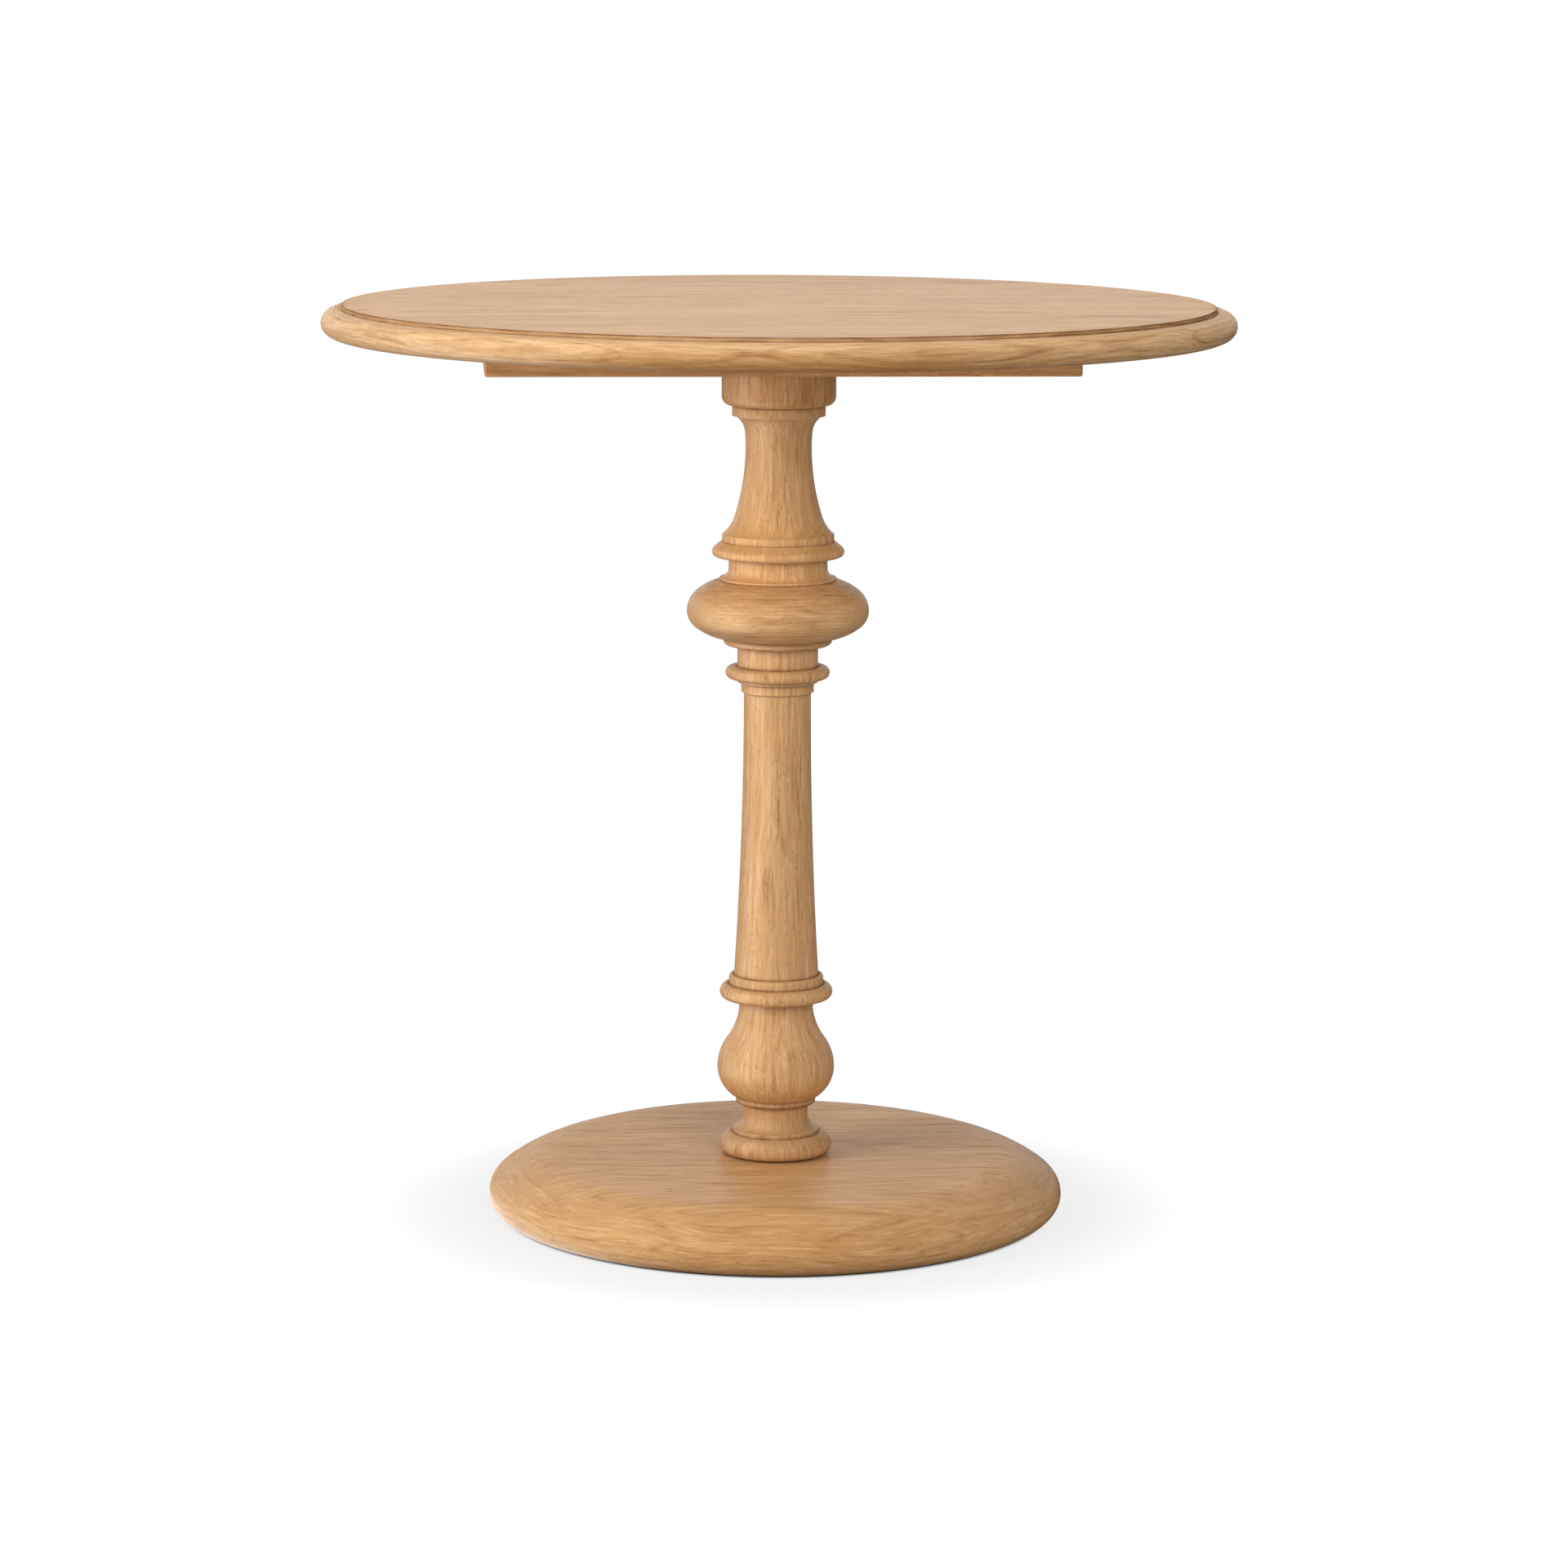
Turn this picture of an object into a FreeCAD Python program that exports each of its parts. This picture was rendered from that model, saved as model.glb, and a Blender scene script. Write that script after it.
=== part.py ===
import FreeCAD, Part
import Sketcher
import math
import os
import re

# Round oak pedestal table, in millimetres. +Z is up, the origin is on the floor under the middle of the base,
# and X runs along the bearer and along the grain of the boards.

SIZES = {
    # Round top: a raised field, a small step and a rounded rim, glued up from boards
    "top_radius": 375.0,
    "top_thickness": 26.0,
    "top_board_count": 6,
    "field_radius": 358.0,
    "field_step": 3.5,
    "field_ease": 1.0,
    "rim_nose": 13.3,
    "rim_side_radius": 10.5,
    # Bearer under the top
    "bearer_length": 485.0,
    "bearer_width": 140.0,
    "bearer_thickness": 28.3,
    "bearer_ease": 2.0,
    "bearer_well_radius": 18.0,
    "bearer_well_depth": 16.0,
    # Screws up through the bearer into the top
    "screw_head_radius": 4.8,
    "screw_head_height": 2.9,
    "screw_shank_radius": 2.4,
    "screw_length": 44.0,
    "screw_tip_length": 7.0,
    "screw_tip_radius": 0.4,
    "screw_sink": 0.3,
    "screw_slot_length": 5.0,
    "screw_slot_width": 1.1,
    "screw_slot_depth": 1.8,
    "screw_end_inset": 37.5,
    "screw_pitch": 95.0,
    "screw_edge_inset": 25.0,
    # Column, collar: a drum with a rounded lower edge
    "collar_height": 29.0,
    "collar_radius": 47.2,
    "collar_round": 7.5,
    "collar_dowel_place": 32.0,
    # Column, vase: lip, cove, torus, fillet, flared vase, cove and ring, from the bottom up
    "vase_height": 144.7,
    "vase_lip_radius": 48.5,
    "vase_lip_height": 2.2,
    "vase_foot_radius": 41.0,
    "vase_cove_height": 7.8,
    "vase_torus_low": 19.5,
    "vase_torus_flat_radius": 50.9,
    "vase_torus_radius": 54.9,
    "vase_torus_nose": 4.4,
    "vase_torus_turn_angle": 50.0,
    "vase_torus_shoulder_radius": 47.2,
    "vase_torus_height": 12.6,
    "vase_fillet_radius": 46.4,
    "vase_fillet_height": 6.3,
    "vase_flare_turn_radius": 36.0,
    "vase_flare_turn_height": 15.2,
    "vase_waist_radius": 27.3,
    "vase_waist_height": 72.5,
    "vase_neck_radius": 27.9,
    "vase_neck_height": 84.5,
    "vase_crown_radius": 36.2,
    "vase_ring_radius": 38.6,
    "vase_ring_height": 8.6,
    # Column, knop: a wide flattened ball over a small ovolo
    "knop_height": 54.3,
    "knop_radius": 75.5,
    "knop_middle_height": 28.6,
    "knop_upper_nose_radius": 21.5,
    "knop_lower_nose_radius": 16.0,
    "knop_turn_angle": 50.0,
    "knop_seat_radius": 49.5,
    "knop_ovolo_radius": 45.2,
    "knop_ovolo_height": 4.5,
    "knop_skirt_height": 6.2,
    "knop_foot_radius": 41.5,
    # Column, shaft: torus and ring at the foot, slim shaft, collar, fillet, torus and neck at the head
    "shaft_height": 298.7,
    "shaft_torus_flat_radius": 42.0,
    "shaft_torus_radius": 47.3,
    "shaft_torus_nose_height": 5.6,
    "shaft_torus_shoulder_radius": 40.2,
    "shaft_torus_height": 12.6,
    "shaft_ring_radius": 39.6,
    "shaft_ring_side": 5.2,
    "shaft_ring_crown": 2.8,
    "shaft_ring_crown_radius": 36.6,
    "shaft_low_radius": 35.4,
    "shaft_high_radius": 27.9,
    "shaft_collar_radius": 30.2,
    "shaft_collar_height": 8.3,
    "shaft_fillet_radius": 33.6,
    "shaft_fillet_height": 3.0,
    "cap_torus_radius": 43.4,
    "cap_torus_flat_radius": 38.4,
    "cap_torus_height": 10.2,
    "shaft_neck_radius": 33.5,
    "shaft_neck_height": 17.7,
    # Column, bulb: a pear over a ring
    "bulb_height": 89.0,
    "bulb_ring_radius": 33.4,
    "bulb_ring_height": 5.2,
    "bulb_seat_radius": 35.0,
    "bulb_radius": 49.1,
    "bulb_belly_height": 30.5,
    "bulb_turn_radius": 41.2,
    "bulb_turn_height": 54.3,
    "bulb_neck_radius": 31.0,
    "bulb_neck_height": 80.0,
    # Column, foot: rounded plinth, lip and scotia
    "foot_height": 44.0,
    "foot_sole_radius": 42.4,
    "foot_radius": 47.0,
    "foot_nose_height": 7.6,
    "foot_shoulder_radius": 39.6,
    "foot_shoulder_height": 18.6,
    "foot_lip_radius": 36.2,
    "foot_lip_height": 3.2,
    "foot_neck_radius": 27.0,
    "foot_neck_height": 33.0,
    "foot_top_radius": 28.0,
    "foot_dowel_place": 33.0,
    # Round base: glued up from boards, with a broad rounded upper edge and a small round under it
    "floor_gap": 2.0,
    "base_radius": 241.0,
    "base_thickness": 46.0,
    "base_board_count": 5,
    "base_round_run": 60.0,
    "base_round_drop": 32.0,
    "base_round_side_radius": 18.0,
    "base_lower_run": 10.0,
    "base_well_radius": 20.0,
    "base_well_depth": 17.0,
    # Joints of the column: turned tenons in mortises, with dowels at both ends
    "tenon_radius": 15.0,
    "tenon_length": 18.0,
    "dowel_radius": 4.0,
    "collar_dowel_length": 28.0,
    "foot_dowel_length": 24.0,
    "dowel_ease": 0.8,
    # Steel rod that draws the bearer, the column and the base together, with its nuts and washers
    "rod_radius": 6.0,
    "rod_ease": 1.0,
    "rod_stub": 2.0,
    "nut_flats": 19.0,
    "nut_height": 10.0,
    "nut_chamfer": 1.4,
    "washer_radius": 15.0,
    "washer_thickness": 2.5,
    # Levelling glides in the underside of the base
    "glide_count": 6,
    "glide_start_angle": 30.0,
    "glide_inset": 56.0,
    "glide_stem_radius": 4.0,
    "glide_stem_length": 24.0,
    "glide_stem_ease": 0.8,
    "glide_head_radius": 6.5,
    "glide_head_height": 2.5,
    "glide_pad_radius": 15.0,
    "glide_pad_height": 6.0,
    "glide_pad_ease": 1.5,
    "glide_sole": 2.0,
    "glide_recess_depth": 5.0,
    "glide_recess_room": 2.0,
    "insert_radius": 6.5,
    "insert_length": 16.0,
    # Fits, eased edges and the overrun of cuts
    "fit_gap": 0.1,
    "end_gap": 1.0,
    "rod_gap": 0.5,
    "thread_gap": 0.1,
    "glide_gap": 0.2,
    "stem_room": 0.6,
    "edge_ease": 0.6,
    "overrun": 5.0,
}

doc = FreeCAD.newDocument("pedestal_table")
sheet = doc.addObject("Spreadsheet::Sheet", "sizes")
for row, (name, size) in enumerate(SIZES.items(), start=1):
    sheet.set(f"A{row}", name)
    sheet.set(f"B{row}", str(size))
    sheet.setAlias(f"B{row}", name)
doc.recompute()

nodes = []


def cells(text):
    """Points each size named in a formula at its cell of the sheet."""
    return re.sub(r"\b([a-z]\w*)\b(?!\()", r"sizes.\1", text)


def value(text):
    """The number that a formula of named sizes comes to."""
    return float(sheet.evalExpression(cells(text)))


def bind(item, **formulas):
    """Binds properties of an object to formulas of named sizes."""
    for name, text in formulas.items():
        item.setExpression(name, cells(text))


def place(item, x="0", y="0", z="0"):
    """Binds the place of an object to formulas of named sizes."""
    for axis, text in zip("xyz", (x, y, z)):
        item.setExpression(f".Placement.Base.{axis}", cells(text))


# Formulas shared by pieces that fit together
ROD_HOLE = "(rod_radius + rod_gap)"
ROD_THREAD = "(rod_radius + thread_gap)"
MORTISE_RADIUS = "(tenon_radius + fit_gap)"
MORTISE_DEPTH = "(tenon_length + end_gap)"
NUT_CORNER = "(nut_flats / sqrt(3))"
BASE_LOW = "floor_gap"
FOOT_LOW = f"({BASE_LOW} + base_thickness)"
BULB_LOW = f"({FOOT_LOW} + foot_height)"
SHAFT_LOW = f"({BULB_LOW} + bulb_height)"
KNOP_LOW = f"({SHAFT_LOW} + shaft_height)"
VASE_LOW = f"({KNOP_LOW} + knop_height)"
COLLAR_LOW = f"({VASE_LOW} + vase_height)"
BEARER_LOW = f"({COLLAR_LOW} + collar_height)"
TOP_LOW = f"({BEARER_LOW} + bearer_thickness)"


def bend(near, far, heading):
    """The centre of the arc that leaves `near` along `heading` and ends at `far`."""
    across = FreeCAD.Vector(-heading.y, heading.x, 0)
    chord = far - near
    return near + across * (chord.Length ** 2 / (2 * chord.dot(across)))


def arc_headings(start, finish, centre):
    """The directions of an arc at its start and finish, and whether it runs anticlockwise."""
    turns_left = (start - centre).cross(finish - centre).z > 0
    side = 1 if turns_left else -1
    headings = []
    for point in (start, finish):
        spoke = (point - centre).normalize()
        headings.append(FreeCAD.Vector(-spoke.y * side, spoke.x * side, 0))
    return headings[0], headings[1], turns_left


PLUMB = FreeCAD.Vector(0, 1, 0)
LEVEL = FreeCAD.Vector(1, 0, 0)


def draw(sketch, outline):
    """Draws a closed half outline and binds its corners.

    Each corner is (radius, height, way), and the way says how the edge runs to the next corner: a line, or an
    arc that leaves or arrives plumb, level or smoothly.
    """
    count = len(outline)
    corners = [FreeCAD.Vector(value(radius), value(height), 0) for radius, height, way in outline]
    ways = [way for radius, height, way in outline]
    centres = [None] * count
    leaving = [None] * count
    arriving = [None] * count
    late = [index for index in range(count) if ways[index] == "to smooth"]
    early = [index for index in range(count) if ways[index] != "to smooth"]
    for index in early + late:
        start = corners[index]
        finish = corners[(index + 1) % count]
        if ways[index] == "line":
            leaving[index] = arriving[index] = (finish - start).normalize()
            continue
        if ways[index] == "smooth":
            centre = bend(start, finish, arriving[index - 1])
        elif ways[index] == "to smooth":
            centre = bend(finish, start, leaving[(index + 1) % count])
        elif ways[index].startswith("to "):
            centre = bend(finish, start, PLUMB if ways[index] == "to plumb" else LEVEL)
        else:
            centre = bend(start, finish, PLUMB if ways[index] == "plumb" else LEVEL)
        centres[index] = centre
        leaving[index], arriving[index], turns_left = arc_headings(start, finish, centre)

    edges = []
    ends = []
    for index in range(count):
        start = corners[index]
        finish = corners[(index + 1) % count]
        if centres[index] is None:
            edges.append(Part.LineSegment(start, finish))
            ends.append((1, 2))
            continue
        turns_left = arc_headings(start, finish, centres[index])[2]
        first, last = (start, finish) if turns_left else (finish, start)
        angles = [math.atan2(point.y - centres[index].y, point.x - centres[index].x) for point in (first, last)]
        circle = Part.Circle(centres[index], FreeCAD.Vector(0, 0, 1), (start - centres[index]).Length)
        edges.append(Part.ArcOfCircle(circle, angles[0], angles[1]))
        ends.append((1, 2) if turns_left else (2, 1))
    sketch.addGeometry(edges, False)

    constraints = []
    formulas = []
    for index, (radius, height, way) in enumerate(outline):
        before = (index - 1) % count
        joint = "Tangent" if way == "smooth" or ways[before] == "to smooth" else "Coincident"
        constraints.append(Sketcher.Constraint(joint, before, ends[before][1], index, ends[index][0]))
        for kind, text, number, axis in (
            ("DistanceX", radius, corners[index].x, -2),
            ("DistanceY", height, corners[index].y, -1),
        ):
            if text == "0":
                constraints.append(Sketcher.Constraint("PointOnObject", index, ends[index][0], axis))
                continue
            formulas.append((len(constraints), text))
            constraints.append(Sketcher.Constraint(kind, -1, 1, index, ends[index][0], number))
        if way in ("plumb", "to plumb", "level", "to level"):
            line_up = "Horizontal" if "plumb" in way else "Vertical"
            end = ends[index][1] if way.startswith("to ") else ends[index][0]
            constraints.append(Sketcher.Constraint(line_up, index, 3, index, end))
    sketch.addConstraint(constraints)
    for index, text in formulas:
        sketch.setExpression(f"Constraints[{index}]", cells(text))


def turned(label, outline, x="0", y="0", z="0"):
    """A turned piece: its half outline spun once round its axis."""
    body = doc.addObject("PartDesign::Body", label)
    body.Label = label
    sketch = body.newObject("Sketcher::SketchObject", f"{label}_outline")
    planes = [plane for plane in body.Origin.OriginFeatures if plane.Role == "XZ_Plane"]
    sketch.AttachmentSupport = (planes[0], [""])
    sketch.MapMode = "FlatFace"
    draw(sketch, outline)
    spin = body.newObject("PartDesign::Revolution", f"{label}_spin")
    spin.Profile = sketch
    spin.ReferenceAxis = (sketch, ["V_Axis"])
    spin.Angle = 360.0
    place(body, x, y, z)
    return body


def cylinder(label, radius, height, x="0", y="0", z="0"):
    item = doc.addObject("Part::Cylinder", label)
    bind(item, Radius=radius, Height=height)
    place(item, x, y, z)
    return item


def box(label, length, width, height, x="0", y="0", z="0"):
    item = doc.addObject("Part::Box", label)
    bind(item, Length=length, Width=width, Height=height)
    place(item, x, y, z)
    return item


def group(label, items):
    bundle = doc.addObject("Part::Compound", label)
    bundle.Label = label
    bundle.Links = items
    return bundle


def cut(label, base, tools):
    """A piece with a set of holes cut from it."""
    item = doc.addObject("Part::Cut", label)
    item.Label = label
    item.Base = base
    item.Tool = group(f"{label}_holes", tools)
    return item


def oval_turn(run, drop, side_radius):
    """Where the two arcs of a quarter oval meet: out from the level end, and up from the plumb end."""
    crown = f"((({run})^2 + ({drop})^2 - 2 * ({run}) * ({side_radius})) / (2 * (({drop}) - ({side_radius}))))"
    out = f"((({run}) - ({side_radius})) * {crown} / ({crown} - ({side_radius})))"
    up = f"(({crown} - ({drop})) * ({side_radius}) / ({crown} - ({side_radius})))"
    return out, up


def low_tenon():
    return [
        (ROD_HOLE, "0 - tenon_length", "line"),
        ("tenon_radius - edge_ease", "0 - tenon_length", "line"),
        ("tenon_radius", "edge_ease - tenon_length", "line"),
        ("tenon_radius", "0", "line"),
    ]


def low_mortise():
    return [
        (ROD_HOLE, MORTISE_DEPTH, "line"),
        (MORTISE_RADIUS, MORTISE_DEPTH, "line"),
        (MORTISE_RADIUS, "0", "line"),
    ]


def high_tenon(top):
    return [
        ("tenon_radius", top, "line"),
        ("tenon_radius", f"{top} + tenon_length - edge_ease", "line"),
        ("tenon_radius - edge_ease", f"{top} + tenon_length", "line"),
        (ROD_HOLE, f"{top} + tenon_length", "line"),
    ]


def high_mortise(top):
    return [
        (MORTISE_RADIUS, top, "line"),
        (MORTISE_RADIUS, f"{top} - {MORTISE_DEPTH}", "line"),
        (ROD_HOLE, f"{top} - {MORTISE_DEPTH}", "line"),
    ]


def foot_outline():
    lip = "foot_shoulder_height + foot_lip_height"
    return [
        (ROD_HOLE, "0", "line"),
        ("foot_sole_radius", "0", "to plumb"),
        ("foot_radius", "foot_nose_height", "plumb"),
        ("foot_shoulder_radius", "foot_shoulder_height", "line"),
        ("foot_lip_radius", "foot_shoulder_height", "line"),
        ("foot_lip_radius", f"{lip} - edge_ease", "plumb"),
        ("foot_lip_radius - edge_ease", lip, "to plumb"),
        ("foot_neck_radius", "foot_neck_height", "plumb"),
        ("foot_top_radius", "foot_height", "line"),
    ] + high_mortise("foot_height")


def bulb_outline():
    return low_tenon() + [
        ("bulb_ring_radius - edge_ease", "0", "to plumb"),
        ("bulb_ring_radius", "edge_ease", "line"),
        ("bulb_ring_radius", "bulb_ring_height", "line"),
        ("bulb_seat_radius", "bulb_ring_height", "to plumb"),
        ("bulb_radius", "bulb_belly_height", "plumb"),
        ("bulb_turn_radius", "bulb_turn_height", "smooth"),
        ("bulb_neck_radius", "bulb_neck_height", "line"),
        ("bulb_neck_radius", "bulb_height", "line"),
    ] + high_mortise("bulb_height")


def shaft_outline():
    ring_low = "shaft_torus_height"
    ring_side = f"{ring_low} + shaft_ring_side"
    ring_top = f"{ring_side} + shaft_ring_crown"
    neck_low = "shaft_height - shaft_neck_height"
    cap_low = f"{neck_low} - cap_torus_height"
    cap_middle = f"{neck_low} - cap_torus_height / 2"
    fillet_low = f"{cap_low} - shaft_fillet_height"
    collar_low = f"{fillet_low} - shaft_collar_height"
    return low_tenon() + [
        ("shaft_torus_flat_radius", "0", "to plumb"),
        ("shaft_torus_radius", "shaft_torus_nose_height", "plumb"),
        ("shaft_torus_shoulder_radius", ring_low, "line"),
        ("shaft_ring_radius", ring_low, "line"),
        ("shaft_ring_radius", ring_side, "plumb"),
        ("shaft_ring_crown_radius", ring_top, "line"),
        ("shaft_low_radius", ring_top, "to plumb"),
        ("shaft_high_radius", collar_low, "line"),
        ("shaft_collar_radius - edge_ease", collar_low, "to plumb"),
        ("shaft_collar_radius", f"{collar_low} + edge_ease", "line"),
        ("shaft_collar_radius", fillet_low, "line"),
        ("shaft_fillet_radius - edge_ease", fillet_low, "to plumb"),
        ("shaft_fillet_radius", f"{fillet_low} + edge_ease", "line"),
        ("shaft_fillet_radius", cap_low, "line"),
        ("cap_torus_flat_radius", cap_low, "to plumb"),
        ("cap_torus_radius", cap_middle, "plumb"),
        ("cap_torus_flat_radius", neck_low, "line"),
        ("shaft_neck_radius", neck_low, "line"),
        ("shaft_neck_radius", "shaft_height", "line"),
    ] + high_tenon("shaft_height")


def knop_outline():
    corners = {}
    for half, sign in (("lower", "-"), ("upper", "+")):
        nose = f"knop_{half}_nose_radius"
        corners[half] = (
            f"knop_radius - {nose} + {nose} * cos(knop_turn_angle)",
            f"knop_middle_height {sign} {nose} * sin(knop_turn_angle)",
        )
    return low_mortise() + [
        ("knop_foot_radius", "0", "to plumb"),
        ("knop_ovolo_radius", "knop_ovolo_height", "line"),
        ("knop_ovolo_radius", "knop_skirt_height", "to smooth"),
        (*corners["lower"], "to plumb"),
        ("knop_radius", "knop_middle_height", "plumb"),
        (*corners["upper"], "smooth"),
        ("knop_seat_radius", "knop_height", "line"),
    ] + high_mortise("knop_height")


def vase_outline():
    cove_top = "vase_lip_height + vase_cove_height"
    torus_nose = "vase_torus_low + vase_torus_nose"
    turn_radius = "vase_torus_radius - vase_torus_nose + vase_torus_nose * cos(vase_torus_turn_angle)"
    torus_turn = f"{torus_nose} + vase_torus_nose * sin(vase_torus_turn_angle)"
    torus_top = "vase_torus_low + vase_torus_height"
    flare = f"{torus_top} + vase_fillet_height"
    ring_low = "vase_height - vase_ring_height"
    return low_tenon() + [
        ("vase_lip_radius", "0", "line"),
        ("vase_lip_radius", "vase_lip_height - edge_ease", "plumb"),
        ("vase_lip_radius - edge_ease", "vase_lip_height", "to plumb"),
        ("vase_foot_radius", cove_top, "line"),
        ("vase_foot_radius", "vase_torus_low", "line"),
        ("vase_torus_flat_radius", "vase_torus_low", "to plumb"),
        ("vase_torus_radius", torus_nose, "plumb"),
        (turn_radius, torus_turn, "smooth"),
        ("vase_torus_shoulder_radius", torus_top, "line"),
        ("vase_fillet_radius", torus_top, "line"),
        ("vase_fillet_radius", f"{flare} - edge_ease", "plumb"),
        ("vase_fillet_radius - edge_ease", flare, "to smooth"),
        ("vase_flare_turn_radius", f"{flare} + vase_flare_turn_height", "to plumb"),
        ("vase_waist_radius", f"{flare} + vase_waist_height", "plumb"),
        ("vase_neck_radius", f"{flare} + vase_neck_height", "smooth"),
        ("vase_crown_radius", ring_low, "line"),
        ("vase_ring_radius - edge_ease", ring_low, "to plumb"),
        ("vase_ring_radius", f"{ring_low} + edge_ease", "line"),
        ("vase_ring_radius", "vase_height", "line"),
    ] + high_tenon("vase_height")


def collar_outline():
    return low_mortise() + [
        ("collar_radius - collar_round", "0", "to plumb"),
        ("collar_radius", "collar_round", "line"),
        ("collar_radius", "collar_height", "line"),
        (ROD_HOLE, "collar_height", "line"),
    ]


def top_outline():
    rim_height = "(top_thickness - field_step)"
    out, up = oval_turn("rim_nose", f"{rim_height} / 2", "rim_side_radius")
    shoulder = "top_radius - rim_nose"
    return [
        ("0", "0", "line"),
        (shoulder, "0", "level"),
        (f"{shoulder} + {out}", f"{rim_height} / 2 - {up}", "to plumb"),
        ("top_radius", f"{rim_height} / 2", "plumb"),
        (f"{shoulder} + {out}", f"{rim_height} / 2 + {up}", "to level"),
        (shoulder, rim_height, "line"),
        ("field_radius", rim_height, "line"),
        ("field_radius", "top_thickness - field_ease", "line"),
        ("field_radius - field_ease", "top_thickness", "line"),
        ("0", "top_thickness", "line"),
    ]


def base_outline():
    out, up = oval_turn("base_round_run", "base_round_drop", "base_round_side_radius")
    flat = "base_radius - base_round_run"
    side_top = "base_thickness - base_round_drop"
    return [
        (ROD_HOLE, "base_well_depth", "line"),
        ("base_well_radius", "base_well_depth", "line"),
        ("base_well_radius", "0", "line"),
        ("base_radius - base_lower_run", "0", "to plumb"),
        ("base_radius", side_top, "plumb"),
        (f"{flat} + {out}", f"{side_top} + {up}", "to level"),
        (flat, "base_thickness", "line"),
        (ROD_HOLE, "base_thickness", "line"),
    ]


def bar_outline(radius, length, ease):
    """A round bar with chamfered ends."""
    return [
        ("0", "0", "line"),
        (f"{radius} - {ease}", "0", "line"),
        (radius, ease, "line"),
        (radius, f"{length} - {ease}", "line"),
        (f"{radius} - {ease}", length, "line"),
        ("0", length, "line"),
    ]


def sleeve_outline(bore, radius, length):
    """A plain round sleeve."""
    return [(bore, "0", "line"), (radius, "0", "line"), (radius, length, "line"), (bore, length, "line")]


def boards(label, disc, radius, thickness, low, count, holes):
    """The boards that a round slab is glued up from, side by side across Y."""
    last = int(value(count)) - 1
    width = f"2 * {radius} / {count}"
    for index in range(last + 1):
        outer_edges = (index == 0) + (index == last)
        strip = box(
            f"{label}_strip_{index + 1}",
            f"2 * ({radius} + overrun)",
            f"{width} + {outer_edges} * overrun",
            f"{thickness} + 2 * overrun",
            x=f"0 - {radius} - overrun",
            y=f"{width} * {index} - {radius} - {int(index == 0)} * overrun",
            z=f"{low} - overrun",
        )
        board = doc.addObject("Part::Common", f"{label}_blank_{index + 1}")
        board.Base = disc
        board.Tool = strip
        nodes.append(cut(f"{label}_{index + 1}", board, holes))


def signed(places):
    """Every pairing of the places with both signs."""
    return [f"{sign} {name}" for name in places for sign in ("0 -", "0 +")]


# Screw places under the bearer, and the screws, their pilot holes and the holes in the bearer
outer_screw = "(bearer_length / 2 - screw_end_inset)"
inner_screw = f"({outer_screw} - screw_pitch)"
side_screw = "(bearer_width / 2 - screw_edge_inset)"
screw_spots = [(x, y) for x in signed([outer_screw, inner_screw]) for y in signed([side_screw])]
screw_low = f"{BEARER_LOW} + screw_sink"
screw_outline = [
    ("0", "0", "line"),
    ("screw_head_radius", "0", "line"),
    ("screw_shank_radius", "screw_head_height", "line"),
    ("screw_shank_radius", "screw_length - screw_tip_length", "line"),
    ("screw_tip_radius", "screw_length", "line"),
    ("0", "screw_length", "line"),
]
screws = []
screw_slots = []
screw_pilots = []
bearer_holes = []
for index, (x, y) in enumerate(screw_spots, start=1):
    screws.append(turned(f"screw_{index}", screw_outline, x, y, screw_low))
    for turn, (length, width) in enumerate(
        (("screw_slot_length", "screw_slot_width"), ("screw_slot_width", "screw_slot_length")), start=1
    ):
        screw_slots.append(
            box(
                f"screw_slot_{index}_{turn}",
                length,
                width,
                "screw_slot_depth + overrun",
                x=f"{x} - {length} / 2",
                y=f"{y} - {width} / 2",
                z=f"{screw_low} - overrun",
            )
        )
    screw_pilots.append(
        cylinder(
            f"screw_pilot_{index}",
            "screw_shank_radius + thread_gap",
            "screw_sink + screw_length - bearer_thickness + end_gap + overrun",
            x=x,
            y=y,
            z=f"{TOP_LOW} - overrun",
        )
    )
    bearer_holes.append(
        cylinder(
            f"screw_hole_{index}",
            "screw_shank_radius + fit_gap",
            "bearer_thickness + 2 * overrun",
            x=x,
            y=y,
            z=f"{BEARER_LOW} - overrun",
        )
    )
    sink = doc.addObject("Part::Cone", f"screw_seat_{index}")
    bind(
        sink,
        Radius1="screw_head_radius + fit_gap",
        Radius2="screw_shank_radius + fit_gap",
        Height="screw_head_height",
    )
    place(sink, x, y, screw_low)
    bearer_holes.append(sink)
    bearer_holes.append(
        cylinder(
            f"screw_mouth_{index}",
            "screw_head_radius + fit_gap",
            "screw_sink + overrun",
            x=x,
            y=y,
            z=f"{BEARER_LOW} - overrun",
        )
    )
nodes.append(cut("bearer_screws", group("bearer_screw_blanks", screws), screw_slots))

# Dowels that key the collar to the bearer and the foot to the base
dowel_holes = {}
for end, level in (("collar", BEARER_LOW), ("foot", FOOT_LOW)):
    length = f"{end}_dowel_length"
    dowels = []
    dowel_holes[end] = []
    for index, x in enumerate(signed([f"{end}_dowel_place"]), start=1):
        low = f"{level} - {length} / 2"
        pin = bar_outline("dowel_radius", length, "dowel_ease")
        dowels.append(turned(f"{end}_dowel_{index}", pin, x=x, z=low))
        dowel_holes[end].append(
            cylinder(
                f"{end}_dowel_hole_{index}",
                "dowel_radius + fit_gap",
                f"{length} + 2 * end_gap",
                x=x,
                z=f"{low} - end_gap",
            )
        )
    nodes.append(group(f"{end}_dowels", dowels))

# Round top, in boards
top_disc = turned("top_disc", top_outline(), z=TOP_LOW)
boards("top_board", top_disc, "top_radius", "top_thickness", TOP_LOW, "top_board_count", screw_pilots)

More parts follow.
